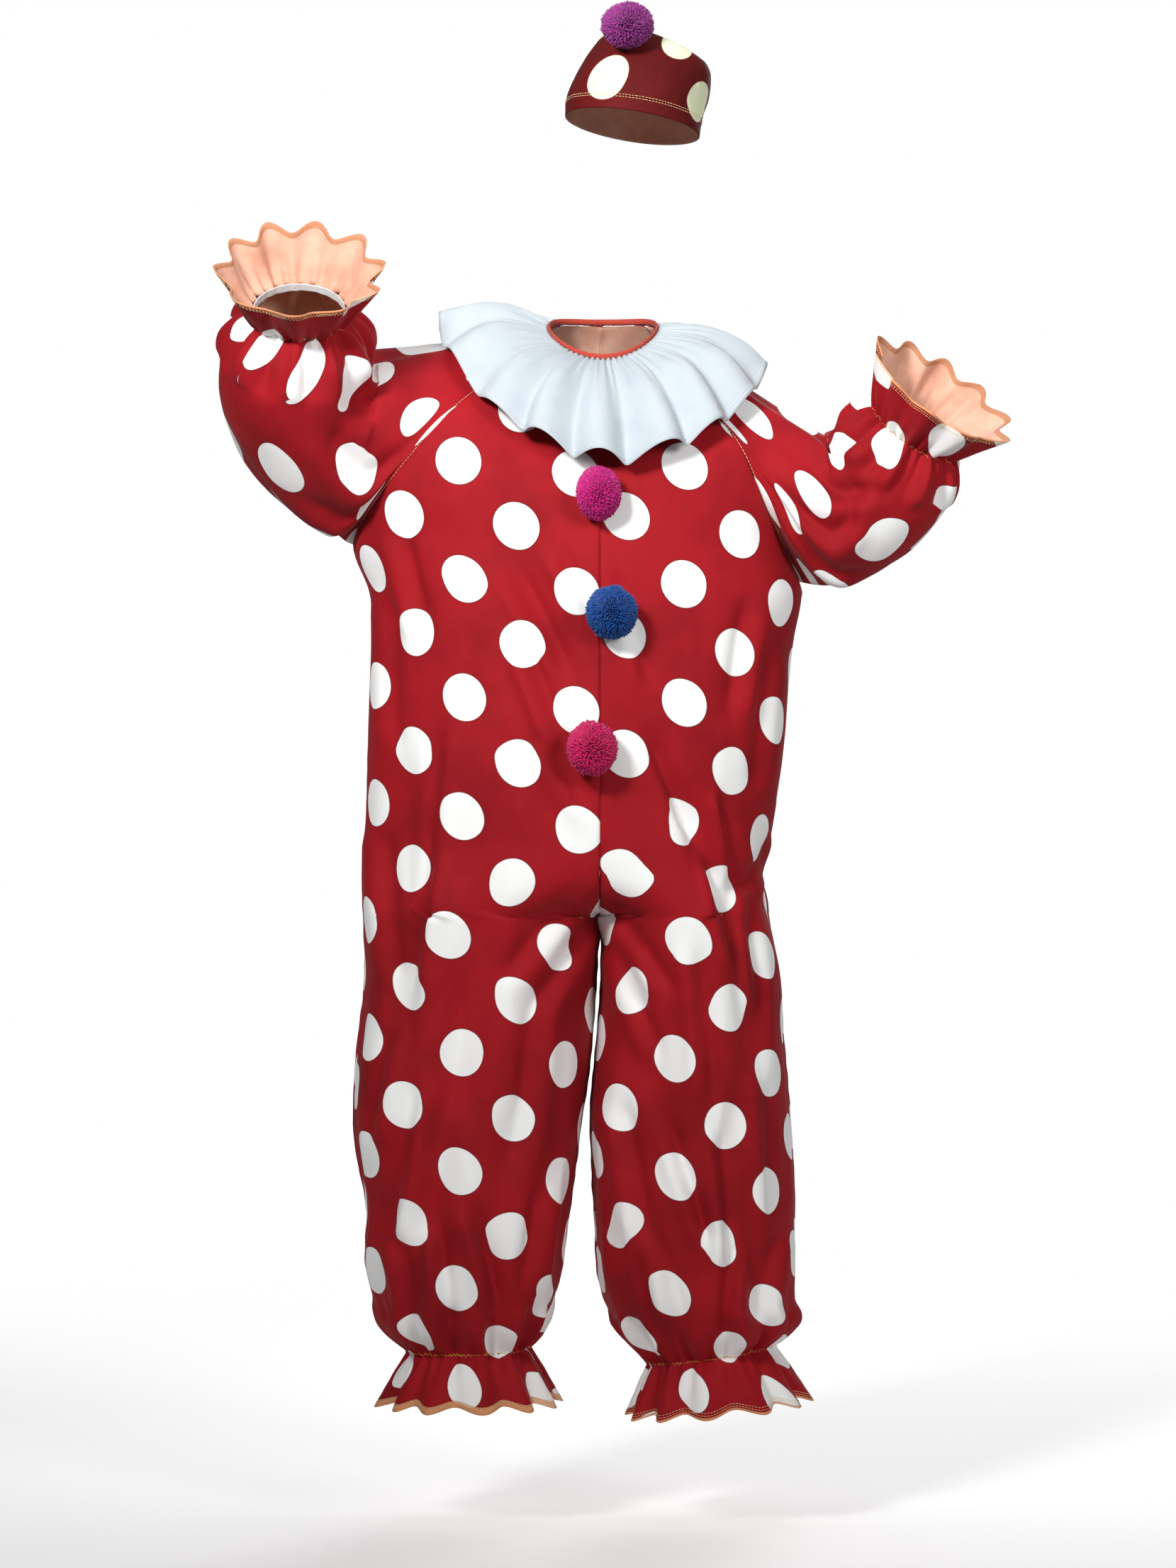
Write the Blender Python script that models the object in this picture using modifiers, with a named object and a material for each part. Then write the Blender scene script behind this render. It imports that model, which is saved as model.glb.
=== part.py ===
"""Clown costume: jumpsuit with raglan sleeves, gathered collar, pompoms and a soft hat.

Metres, +Z up.  The front faces -Y and the wearer's right is at -X.  The origin is the
centre of the neck opening, where the wearer's neck and shoulders carry the suit.
Every sheet of cloth is an open surface with a wall given by Solidify.
"""
import bisect
import math
from typing import NamedTuple

import bmesh
import bpy
from mathutils import Matrix, Vector

CLOTH = 0.0014             # wall of the suit and the hat
COLLAR_CLOTH = 0.0012      # wall of the collar
SIDE_PULL = 0.00018        # each edge's draw back from a flat seam
RAGLAN_PULL = 0.0008       # a panel's draw back from the angled sleeve seam
SLEEVE_PULL = 0.0013       # the sleeve's draw back from it

BODY_COLUMNS = 12          # facets across half a front or half a back
BODICE_ROWS = 7            # rows from neckline to underarm
TORSO_ROWS = 8             # rows from underarm to crotch
LEG_ROWS = 6               # rows from crotch to the gathers above the ankle
NECK_ARC_COLUMNS = 6       # sleeve facets along the neckline
SLEEVE_COLUMNS = NECK_ARC_COLUMNS + 2 * BODICE_ROWS
GATHERS_PER_LEG_PANEL = 6
GATHERS_PER_SLEEVE = 10

NECK_HALF_WIDTH = 0.068
NECK_HALF_DEPTH = 0.060
NECK_BACK_Z = 0.042
NECK_DIP = 0.054           # the front of the neckline lies this far below the back
NECK_DIP_POWER = 2.2
FRONT_PANEL_TURN = 52.0    # degrees of the neckline from centre front to the sleeve seam
BACK_PANEL_TURN = 128.0    # degrees at which the back panel begins

UNDERARM_Z = -0.26         # level of the row that meets the underarm, at the centre seams
CROTCH_Z = -0.705
SEAM_X = -0.004            # the centre seams lie a little to the wearer's right
FULLNESS = 0.85            # power that squares the round of the body slightly
CROTCH_CLEARANCE = 0.0011  # each leg's draw back from the middle, where the legs part
NECK_BLEND = 0.05          # the panels take the neckline's curve over this much cloth
HALVES = {"front": -1, "back": 1}  # the sign of Y on each face of the suit
FOLD_MARGIN = 0.12         # share of a panel's width over which its folds fade at a seam


class Seam(NamedTuple):
    """One row of a bodice panel: its centre point and its point on the raglan seam."""
    mid_y: float
    mid_z: float
    side_x: float
    side_y: float
    side_z: float
    arc: float


class Girth(NamedTuple):
    """One level of the torso, measured on both sides."""
    level: float
    right_x: float
    right_z: float
    left_x: float
    left_z: float
    front: float
    back: float
    crown: float


class Leg(NamedTuple):
    """One level of a leg: inseam, outseam and depth."""
    inseam_x: float
    inseam_z: float
    outseam_x: float
    outseam_z: float
    front: float
    back: float


class Row(NamedTuple):
    """A half row of cloth, from the centre seam or inseam to the side."""
    down: float
    mid_x: float
    mid_z: float
    inner_y: float
    crest_y: float
    side_x: float
    side_y: float
    side_z: float
    crown: float
    arc: float


BODICE = {
    ("front", "right"): (
        Seam(-0.060, -0.012, -0.0536, -0.0369, 0.0082, 52),
        Seam(-0.094, -0.064, -0.110, -0.076, -0.024, 55),
        Seam(-0.124, -0.113, -0.170, -0.110, -0.062, 60),
        Seam(-0.148, -0.160, -0.228, -0.124, -0.122, 66),
        Seam(-0.160, -0.210, -0.281, -0.092, -0.186, 76),
        Seam(-0.168, -0.260, -0.313, 0.000, -0.238, 90)),
    ("front", "left"): (
        Seam(-0.060, -0.012, 0.0536, -0.0369, 0.0082, 52),
        Seam(-0.094, -0.064, 0.096, -0.078, -0.040, 55),
        Seam(-0.124, -0.113, 0.140, -0.110, -0.084, 60),
        Seam(-0.148, -0.160, 0.173, -0.126, -0.132, 66),
        Seam(-0.160, -0.210, 0.204, -0.100, -0.202, 76),
        Seam(-0.168, -0.260, 0.247, 0.000, -0.285, 90)),
    ("back", "right"): (
        Seam(0.060, 0.042, -0.0536, 0.0369, 0.0405, 52),
        Seam(0.094, 0.002, -0.106, 0.078, 0.008, 55),
        Seam(0.124, -0.060, -0.170, 0.112, -0.036, 60),
        Seam(0.142, -0.125, -0.226, 0.118, -0.108, 66),
        Seam(0.152, -0.190, -0.281, 0.084, -0.182, 76),
        Seam(0.158, -0.260, -0.313, 0.000, -0.238, 90)),
    ("back", "left"): (
        Seam(0.060, 0.042, 0.0536, 0.0369, 0.0405, 52),
        Seam(0.094, 0.002, 0.096, 0.078, -0.006, 55),
        Seam(0.124, -0.060, 0.142, 0.112, -0.052, 60),
        Seam(0.142, -0.125, 0.176, 0.120, -0.122, 66),
        Seam(0.152, -0.190, 0.204, 0.096, -0.200, 76),
        Seam(0.158, -0.260, 0.247, 0.000, -0.285, 90)),
}

TORSO = (
    Girth(-0.310, -0.291, -0.302, 0.249, -0.312, -0.176, 0.163, 0.00),
    Girth(-0.355, -0.288, -0.353, 0.240, -0.356, -0.182, 0.165, 0.00),
    Girth(-0.410, -0.290, -0.410, 0.233, -0.410, -0.187, 0.166, 0.00),
    Girth(-0.490, -0.294, -0.490, 0.226, -0.490, -0.190, 0.168, 0.00),
    Girth(-0.560, -0.296, -0.560, 0.217, -0.560, -0.188, 0.168, 0.00),
    Girth(-0.615, -0.298, -0.615, 0.207, -0.615, -0.182, 0.167, 0.08),
    Girth(-0.655, -0.300, -0.655, 0.198, -0.655, -0.176, 0.165, 0.40),
    Girth(-0.685, -0.300, -0.685, 0.202, -0.685, -0.170, 0.162, 0.80),
    Girth(-0.705, -0.299, -0.705, 0.206, -0.705, -0.166, 0.160, 1.00),
)

LEGS = {
    "right": (
        Leg(-0.0100, -0.760, -0.297, -0.760, -0.158, 0.155),
        Leg(-0.0155, -0.820, -0.301, -0.820, -0.152, 0.150),
        Leg(-0.0210, -0.890, -0.309, -0.890, -0.146, 0.146),
        Leg(-0.0340, -0.980, -0.310, -0.980, -0.140, 0.142),
        Leg(-0.0420, -1.070, -0.290, -1.068, -0.135, 0.137),
        Leg(-0.0516, -1.140, -0.293, -1.139, -0.128, 0.130),
        Leg(-0.0650, -1.184, -0.280, -1.184, -0.119, 0.121),
        Leg(-0.0790, -1.218, -0.267, -1.219, -0.103, 0.105),
        Leg(-0.0960, -1.248, -0.238, -1.250, -0.073, 0.073)),
    "left": (
        Leg(0.0015, -0.760, 0.217, -0.758, -0.158, 0.155),
        Leg(0.0005, -0.820, 0.2225, -0.819, -0.150, 0.150),
        Leg(-0.0060, -0.890, 0.227, -0.890, -0.144, 0.145),
        Leg(-0.0116, -0.980, 0.2305, -0.979, -0.138, 0.140),
        Leg(-0.0080, -1.070, 0.235, -1.066, -0.134, 0.135),
        Leg(-0.0045, -1.140, 0.237, -1.136, -0.127, 0.129),
        Leg(0.0060, -1.190, 0.239, -1.180, -0.119, 0.121),
        Leg(0.0270, -1.228, 0.240, -1.212, -0.104, 0.106),
        Leg(0.0630, -1.266, 0.209, -1.243, -0.073, 0.073)),
}


class Frill(NamedTuple):
    """The ruffle below an elastic: how it spreads from the elastic to its hem."""
    length: float
    spread: float
    wave: float


ANKLE_FRILL = Frill(0.066, 0.038, 0.0085)
WRIST_FRILL = Frill(0.062, 0.036, 0.0085)
FRILL_ROWS = 3
GATHER_ROWS = 4            # rows of deep gathers above an elastic
GATHER_HEIGHT = 0.075      # how far up the gathers run
GATHER_DEPTH = 0.0055
ELASTIC_WAVE = 0.0016
FRILL_LIFT = 0.004         # a ruffle's crests hang this much lower than its mean
NUDGE = 0.01               # small step along a sleeve, to find its direction
ARRIVAL = 0.8              # how strongly the shoulder turns into the first ring
GATHERS_ALONG = 2.25       # where the gathers of a sleeve begin
ELASTIC_ALONG = 3.0        # where its elastic lies


class Fold(NamedTuple):
    """A soft trough in a front or back, as seen from the front: end points, width, depth."""
    x0: float
    z0: float
    x1: float
    z1: float
    width: float
    depth: float


FOLDS = {
    ("front", "right"): (
        Fold(-0.107, -0.270, -0.018, -0.440, 0.030, 0.009),
        Fold(-0.250, -0.560, -0.255, -0.820, 0.026, 0.012),
        Fold(-0.150, -0.700, -0.165, -0.900, 0.028, 0.012),
        Fold(-0.178, -0.820, -0.212, -1.060, 0.024, 0.012),
        Fold(-0.120, -0.980, -0.140, -1.180, 0.022, 0.009)),
    ("front", "left"): (
        Fold(0.058, -0.500, 0.085, -0.560, 0.026, 0.008),
        Fold(0.118, -0.590, 0.165, -0.700, 0.022, 0.014),
        Fold(0.165, -0.700, 0.182, -0.860, 0.022, 0.012),
        Fold(0.060, -0.900, 0.110, -1.120, 0.026, 0.010),
        Fold(0.170, -0.960, 0.190, -1.170, 0.022, 0.010)),
    ("back", "right"): (
        Fold(-0.090, -0.240, -0.040, -0.420, 0.032, 0.008),
        Fold(-0.200, -0.540, -0.215, -0.800, 0.028, 0.012),
        Fold(-0.110, -0.700, -0.130, -0.930, 0.028, 0.011),
        Fold(-0.190, -0.900, -0.210, -1.150, 0.024, 0.011)),
    ("back", "left"): (
        Fold(0.080, -0.250, 0.030, -0.420, 0.032, 0.008),
        Fold(0.150, -0.540, 0.165, -0.790, 0.026, 0.012),
        Fold(0.080, -0.720, 0.090, -0.930, 0.026, 0.010),
        Fold(0.140, -0.930, 0.160, -1.150, 0.024, 0.011)),
}


class Ring(NamedTuple):
    """A ring round an arm, on a half plane that turns about the inner elbow."""
    along: float
    turn: float
    slide: float
    offset: float
    reach: float
    span: float


class Arm(NamedTuple):
    """A sleeve: the inner elbow, the upper arm's and forearm's directions, and its rings.

    twist is the share of a turn from the top of a ring to its point nearest the elbow.
    """
    twist: float
    elbow: tuple
    upper: tuple
    fore: tuple
    rings: tuple


ARMS = {
    "right": Arm(0.11, (-0.278, -0.090, -0.018), (-0.97, 0.05, -0.20), (0.03, -0.63, 0.78), (
        Ring(1.00, 0.31, 0.000, 0.124, 0.117, 0.120),
        Ring(1.35, 0.51, 0.000, 0.114, 0.107, 0.118),
        Ring(1.70, 0.74, 0.000, 0.106, 0.099, 0.114),
        Ring(2.00, 1.00, 0.000, 0.102, 0.095, 0.106),
        Ring(2.30, 1.00, 0.026, 0.101, 0.093, 0.100),
        Ring(2.60, 1.00, 0.050, 0.100, 0.084, 0.089),
        Ring(2.82, 1.00, 0.066, 0.099, 0.072, 0.075),
        Ring(3.00, 1.00, 0.078, 0.098, 0.060, 0.061))),
    "left": Arm(0.08, (0.276, -0.085, -0.112), (0.87, 0.25, -0.42), (0.52, -0.41, 0.75), (
        Ring(1.00, 0.42, 0.000, 0.098, 0.092, 0.100),
        Ring(1.35, 0.58, 0.000, 0.095, 0.089, 0.099),
        Ring(1.70, 0.77, 0.000, 0.092, 0.086, 0.097),
        Ring(2.00, 1.00, 0.000, 0.090, 0.084, 0.093),
        Ring(2.30, 1.00, 0.022, 0.090, 0.083, 0.090),
        Ring(2.60, 1.00, 0.042, 0.090, 0.076, 0.082),
        Ring(2.82, 1.00, 0.056, 0.089, 0.068, 0.071),
        Ring(3.00, 1.00, 0.068, 0.088, 0.058, 0.060))),
}
SLEEVE_UPPER_ROWS = 4      # from the raglan seam to the first ring
SLEEVE_FAN_ROWS = 8        # from the first ring to the gathers


class Brim(NamedTuple):
    """A point of the collar's outer edge, by its turn from centre front."""
    turn: float
    x: float
    y: float
    z: float
    arch: float


class Swing(NamedTuple):
    """A slow variation round the collar: how many times, how much, where it starts."""
    times: int
    size: float
    start: float


COLLAR_RIM = (
    Brim(-180, 0.000, 0.172, -0.050, 0.014),
    Brim(-135, -0.150, 0.130, 0.018, 0.020),
    Brim(-90, -0.207, -0.010, 0.040, 0.022),
    Brim(-45, -0.141, -0.143, -0.070, 0.024),
    Brim(0, 0.004, -0.180, -0.141, 0.018),
    Brim(45, 0.139, -0.150, -0.098, 0.024),
    Brim(90, 0.203, -0.018, -0.022, 0.022),
    Brim(135, 0.148, 0.128, -0.020, 0.018),
    Brim(180, 0.000, 0.172, -0.050, 0.014),
)
COLLAR_FLUTES = 16
COLLAR_STEPS = 6           # facets across one flute
COLLAR_ROWS = 4
FLUTE_DEPTH = 0.0145       # of the deepest flutes
FLUTE_DRIFT = (Swing(2, 0.70, 0.8), Swing(5, 0.49, 2.0))   # radians off an even spacing
FLUTE_MEAN = 0.80                                          # share of that depth
FLUTE_SWELL = (Swing(3, 0.20, 1.1),)
COLLAR_INSET = 0.0016      # the collar's sewn edge lies this far outside the neckline
COLLAR_LIFT = 0.0022       # and this far above it

BINDING_HEIGHT = 0.0070
BINDING_WIDTH = 0.0022
BINDING_STEPS = 32
BINDING_LIFT = 0.0012      # the binding's lower edge above the neckline

ELASTIC_WIDTH = 0.010
ELASTIC_CLOTH = 0.0012
ELASTIC_INSET = 0.0038     # from the cuff's mean surface to the elastic's
ELASTIC_STEPS = 20


class Pompom(NamedTuple):
    """A ball of cut yarn on the centre front: its shift from the seam and place down it."""
    name: str
    shift: float
    down: float
    half_width: float
    half_height: float
    colour: tuple


class HatRing(NamedTuple):
    """A ring of the hat's side, from its hem up; rise lifts it on the wearer's right."""
    up: float
    x: float
    half_width: float
    half_depth: float
    rise: float


HAT_CENTRE = (0.037, -0.005, 0.287)
HAT_ROLL = 9.0             # degrees the hat leans down to the wearer's left
HAT_PITCH = 5.0            # degrees its front is tipped up
HAT_SIDE = (
    HatRing(0.000, 0.000, 0.0850, 0.0900, 0.000),
    HatRing(0.030, -0.001, 0.0860, 0.0905, 0.000),
    HatRing(0.060, 0.006, 0.0820, 0.0880, 0.004),
    HatRing(0.085, 0.016, 0.0720, 0.0810, 0.010),
    HatRing(0.102, 0.022, 0.0620, 0.0720, 0.016),
)
HAT_COLUMNS = 28
HAT_ROWS = 6
HAT_PINCH_TURN = -75.0     # degrees from centre front at which the crown is pinched to a peak
HAT_PINCH_WIDTH = 26.0
HAT_PINCH_RISE = 0.022
HAT_TIP_RINGS = (0.66, 0.26)
HAT_TIP_SAG = 0.014
HAT_TIP_EDGE = 0.975       # the tip ends this share of the way to the side's edge

LOCKS_PER_EDGE = 3         # a pompom has six faces of three by three locks
LOCK_ROOT = 0.55           # the backing's size, as a share of the ball's
LOCK_GROOVE = 0.16         # how far a lock's end is drawn in to its middle
LOCK_UNEVENNESS = 0.05
LOCK_RHYTHM = 2.4          # radians between the lengths of one lock and the next
POMPOM_BACK = 0.75         # the half against the cloth is this much flatter
POMPOM_GAP = 0.0003        # from the cloth to a pompom's nearest lock
SLOPE_STEP = 0.01          # length of cloth over which a pompom's seat slopes

RED = (0.50, 0.014, 0.022, 1.0)
WHITE = (0.62, 0.70, 0.78, 1.0)
MAGENTA = (0.52, 0.006, 0.18, 1.0)
BLUE = (0.004, 0.055, 0.25, 1.0)
PINK = (0.60, 0.008, 0.11, 1.0)
PURPLE = (0.25, 0.028, 0.19, 1.0)
ELASTIC_WHITE = (0.75, 0.75, 0.72, 1.0)

POMPOMS = (
    Pompom("pompom_top", -0.002, 0.186, 0.029, 0.035, MAGENTA),
    Pompom("pompom_middle", 0.014, 0.334, 0.033, 0.034, BLUE),
    Pompom("pompom_bottom", -0.010, 0.496, 0.032, 0.035, PINK),
)
HAT_POMPOM = Pompom("pompom_hat", 0, 0, 0.034, 0.030, PURPLE)
HAT_POMPOM_TURN = -26.0
HAT_POMPOM_SHARE = 0.84
HAT_TURN_STEP = 8.0        # the hat's surface is read this far each way, to find its slope
HAT_SHARE_STEP = 0.08


def through(keys, values, at):
    """A smooth curve through the points (key, value), read at one place."""
    last = len(keys) - 1
    i = min(max(bisect.bisect_right(keys, at) - 1, 0), last - 1)

    def slope(k):
        before, after = max(k - 1, 0), min(k + 1, last)
        return (values[after] - values[before]) / (keys[after] - keys[before])

    width = keys[i + 1] - keys[i]
    t = (at - keys[i]) / width
    rise, start, end = values[i + 1] - values[i], slope(i) * width, slope(i + 1) * width
    return values[i] + t * (start + t * (3 * rise - 2 * start - end + t * (start + end - 2 * rise)))


def read(table, key, at):
    """A row of the table's own kind, with each column read at one place of the key column."""
    keys = [getattr(row, key) for row in table]
    return type(table[0])(*(through(keys, column, at) for column in zip(*table)))


def neckline(turn):
    """A point of the neckline, by its turn in degrees from centre front."""
    angle = math.radians(turn)
    dip = NECK_DIP * ((1 + math.cos(angle)) / 2) ** NECK_DIP_POWER
    return Vector((NECK_HALF_WIDTH * math.sin(angle), -NECK_HALF_DEPTH * math.cos(angle),
                   NECK_BACK_Z - dip))


def hand(side):
    """The sign of X on one side of the wearer."""
    return -1 if side == "right" else 1


def panel_rows(face, side):
    """The rows of one panel, from neckline to elastic, with their distance down the cloth."""
    rows = [Row(0, SEAM_X, seam.mid_z, 0, seam.mid_y, seam.side_x, seam.side_y, seam.side_z,
                0, seam.arc) for seam in BODICE[face, side]]
    rows += [Row(0, SEAM_X, girth.level, 0, getattr(girth, face), getattr(girth, side + "_x"), 0,
                 getattr(girth, side + "_z"), girth.crown, 90) for girth in TORSO]
    rows += [Row(0, leg.inseam_x, leg.inseam_z, 0, getattr(leg, face), leg.outseam_x, 0,
                 leg.outseam_z, 1, 90) for leg in LEGS[side]]
    placed = []
    for index, row in enumerate(rows):
        if index < len(BODICE[face, side]):
            down = index / (len(BODICE[face, side]) - 1) * -UNDERARM_Z
        else:
            down = -row.mid_z
        placed.append(row._replace(down=down))
    return tuple(placed)


PANELS = {panel: panel_rows(*panel) for panel in BODICE}


def eased(value):
    """A smooth step from 0 to 1."""
    value = min(max(value, 0), 1)
    return value * value * (3 - 2 * value)


def body_base(face, side, u, down):
    """The plain form of a panel: u runs from the centre seam or inseam to the side."""
    row = read(PANELS[face, side], "down", down)
    crown = min(max(row.crown, 0), 1)
    start = math.acos(crown / (2 - crown))
    end = math.pi / 2 + math.radians(min(row.arc, 90))
    angle = start + (end - start) * u
    across = (math.cos(start) - math.cos(angle)) / (math.cos(start) - math.cos(end))
    bulge, edge_bulge = (max(math.sin(a), 0) ** FULLNESS for a in (angle, end))
    if angle > math.pi / 2:
        share = (bulge - edge_bulge) / (1 - edge_bulge)
        y = row.side_y + (row.crest_y - row.side_y) * share
    else:
        y = row.inner_y + (row.crest_y - row.inner_y) * bulge
    mid_x = row.mid_x + hand(side) * CROTCH_CLEARANCE * eased(crown * 2)
    point = Vector((mid_x + (row.side_x - mid_x) * across, y,
                    row.mid_z + (row.side_z - row.mid_z) * eased(u)))
    if down < NECK_BLEND:
        turn = FRONT_PANEL_TURN * u if face == "front" else 180 - (180 - BACK_PANEL_TURN) * u
        point = neckline(turn * hand(side)).lerp(point, eased(down / NECK_BLEND))
    return point


def fold_depth(fold, x, z):
    """How far a fold sinks the cloth at one place, seen from the front."""
    run_x, run_z = fold.x1 - fold.x0, fold.z1 - fold.z0
    length = math.hypot(run_x, run_z)
    along = ((x - fold.x0) * run_x + (z - fold.z0) * run_z) / length
    across = ((x - fold.x0) * run_z - (z - fold.z0) * run_x) / length
    past = max(-along, along - length, 0)
    return fold.depth * math.exp(-(across / fold.width) ** 2 - (past / (2 * fold.width)) ** 2)


def panel_wave(face, u):
    """The gathers' wave across a panel, which runs on without a kink into the next panel."""
    return HALVES[face] * math.sin(2 * math.pi * GATHERS_PER_LEG_PANEL * u)


def gather_wave(height):
    """The depth of the gathers at a height above their elastic."""
    share = min(max(height / GATHER_HEIGHT, 0), 1)
    return ELASTIC_WAVE * (1 - share) + GATHER_DEPTH * math.sin(math.pi * share ** 0.7)


def elastic_down(side):
    """How far down the cloth a leg's elastic lies."""
    return -LEGS[side][-1].inseam_z


def leg_centre(side, down):
    """The middle of a body or leg section, from which its cloth faces out."""
    row = read(PANELS["front", side], "down", down)
    crown = min(max(row.crown, 0), 1)
    return Vector((row.mid_x + (row.side_x - row.mid_x) * crown / 2, 0,
                   (row.mid_z + row.side_z) / 2))


def outward(point, centre):
    """The level direction from a section's centre to a point of its cloth."""
    way = point - centre
    way.z = 0
    return way.normalized()


def body_point(face, side, u, down):
    """A point of a panel with its folds and gathers."""
    point = body_base(face, side, u, down)
    out = outward(point, leg_centre(side, down))
    window = eased(min(u, 1 - u) / FOLD_MARGIN)
    sunk = sum(fold_depth(fold, point.x, point.z) for fold in FOLDS[face, side]) * window
    height = elastic_down(side) - down
    wave = gather_wave(height) * panel_wave(face, u)
    fade = eased((GATHER_HEIGHT - height) / GATHER_HEIGHT * 3)
    return point + out * (wave * fade - sunk)


def frill_point(edge, out, away, frill, share, wave):
    """A point of a ruffle: share runs from the elastic to the hem, wave from -1 to 1."""
    depth = ELASTIC_WAVE + (frill.wave - ELASTIC_WAVE) * share
    spread = frill.spread * share ** 0.8
    lift = FRILL_LIFT * wave * share
    return edge + out * (spread + depth * wave) + away * (frill.length * share + lift)


def ankle_frill(face, side, u, share):
    """A point of the ruffle below an ankle's elastic."""
    down = elastic_down(side)
    edge = body_base(face, side, u, down)
    out = outward(edge, leg_centre(side, down))
    last = LEGS[side][-1]
    across = Vector((last.outseam_x - last.inseam_x, 0, last.outseam_z - last.inseam_z))
    away = across.cross(Vector((0, 1, 0))).normalized()
    if away.z > 0:
        away = -away
    return frill_point(edge, out, away, ANKLE_FRILL, share, panel_wave(face, u))


def draw_back(edge, inner, distance, closed=False):
    """Points of an edge moved square to it, towards the points next to it."""
    moved = []
    for i, point in enumerate(edge):
        before = edge[i - 1] if closed or i else point
        after = edge[(i + 1) % len(edge)] if closed or i + 1 < len(edge) else point
        run = (after - before).normalized()
        way = inner[i] - point
        moved.append(point + (way - run * way.dot(run)).normalized() * distance)
    return moved


def panel_grid(face, side):
    """The points of a panel, row by row, with twice the columns in its gathers and ruffle."""
    bottom = elastic_down(side)
    gathers = bottom - GATHER_HEIGHT
    plain = [-UNDERARM_Z * i / BODICE_ROWS for i in range(BODICE_ROWS)]
    plain += [-UNDERARM_Z + (UNDERARM_Z - CROTCH_Z) * i / TORSO_ROWS for i in range(TORSO_ROWS)]
    plain += [-CROTCH_Z + (gathers + CROTCH_Z) * i / LEG_ROWS for i in range(LEG_ROWS)]
    gathered = [gathers + GATHER_HEIGHT * i / GATHER_ROWS for i in range(GATHER_ROWS + 1)]
    fine = [i / (2 * BODY_COLUMNS) for i in range(2 * BODY_COLUMNS + 1)]
    rows = [[body_point(face, side, u, down) for u in fine[::2]] for down in plain]
    rows += [[body_point(face, side, u, down) for u in fine] for down in gathered]
    rows += [[ankle_frill(face, side, u, (i + 1) / FRILL_ROWS) for u in fine]
             for i in range(FRILL_ROWS)]
    middle = draw_back([row[0] for row in rows], [row[1] for row in rows], SIDE_PULL)
    slanted, upright = (
        draw_back([row[-1] for row in part], [row[-2] for row in part], pull)
        for part, pull in ((rows[:BODICE_ROWS + 1], RAGLAN_PULL),
                           (rows[BODICE_ROWS + 1:], SIDE_PULL)))
    for row, start, end in zip(rows, middle, slanted + upright):
        row[0], row[-1] = start, end
    return rows


def raglan_point(side, a):
    """A point of the closed seam of a sleeve: a runs from the shoulder to the front and round."""
    a = (a + 0.5) % 1 - 0.5
    half_arc = NECK_ARC_COLUMNS / SLEEVE_COLUMNS / 2
    if abs(a) <= half_arc:
        middle = (FRONT_PANEL_TURN + BACK_PANEL_TURN) / 2
        return neckline((middle - (middle - FRONT_PANEL_TURN) * a / half_arc) * hand(side))
    share = (abs(a) - half_arc) / (0.5 - half_arc)
    return body_base("front" if a > 0 else "back", side, 1, -UNDERARM_Z * share)


def arm_ring(side, along):
    """A ring's centre, its outward, forward and travelling directions, and its half sizes."""
    arm = ARMS[side]
    ring = read(arm.rings, "along", along)
    upper, fore = Vector(arm.upper).normalized(), Vector(arm.fore).normalized()
    hinge = upper.cross(fore).normalized()
    turned = Matrix.Rotation(upper.angle(fore) * ring.turn, 3, hinge)
    out, travel = turned @ upper.cross(hinge), turned @ upper
    centre = Vector(arm.elbow) + out * ring.offset + travel * ring.slide
    return centre, out, hinge * hand(side), travel, ring


def ring_point(side, a, along):
    """A point on the plain form of a sleeve beyond its first ring."""
    centre, out, front, travel, ring = arm_ring(side, along)
    angle = 2 * math.pi * (a - ARMS[side].twist)
    return centre - out * (ring.reach * math.cos(angle)) + front * (ring.span * math.sin(angle))


def sleeve_base(side, a, along):
    """The plain form of a sleeve: along is 0 at the raglan seam and 3 at the elastic."""
    if along >= 1:
        return ring_point(side, a, along)
    seam, ring = raglan_point(side, a), ring_point(side, a, 1)
    leave = ring - seam
    arrive = (ring_point(side, a, 1 + NUDGE) - ring) / NUDGE
    arrive = arrive.normalized() * min(arrive.length, leave.length) * ARRIVAL
    t = along
    return (seam * (2 * t ** 3 - 3 * t ** 2 + 1) + leave * (t ** 3 - 2 * t ** 2 + t)
            + ring * (3 * t ** 2 - 2 * t ** 3) + arrive * (t ** 3 - t ** 2))


def sleeve_point(side, a, along):
    """A point of a sleeve with its gathers."""
    point = sleeve_base(side, a, along)
    if along < 2:
        return point
    centre, out, front, travel, ring = arm_ring(side, along)
    height = ARMS[side].rings[-1].slide - ring.slide
    wave = gather_wave(height) * math.cos(2 * math.pi * GATHERS_PER_SLEEVE * a)
    fade = eased((along - 2) * 3)
    return point + (point - centre).normalized() * (wave * fade)


def wrist_frill(side, a, share):
    """A point of the ruffle beyond a wrist's elastic."""
    edge = sleeve_base(side, a, ELASTIC_ALONG)
    centre, out, front, travel, ring = arm_ring(side, ELASTIC_ALONG)
    wave = math.cos(2 * math.pi * GATHERS_PER_SLEEVE * a)
    return frill_point(edge, (edge - centre).normalized(), travel, WRIST_FRILL, share, wave)


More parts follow.
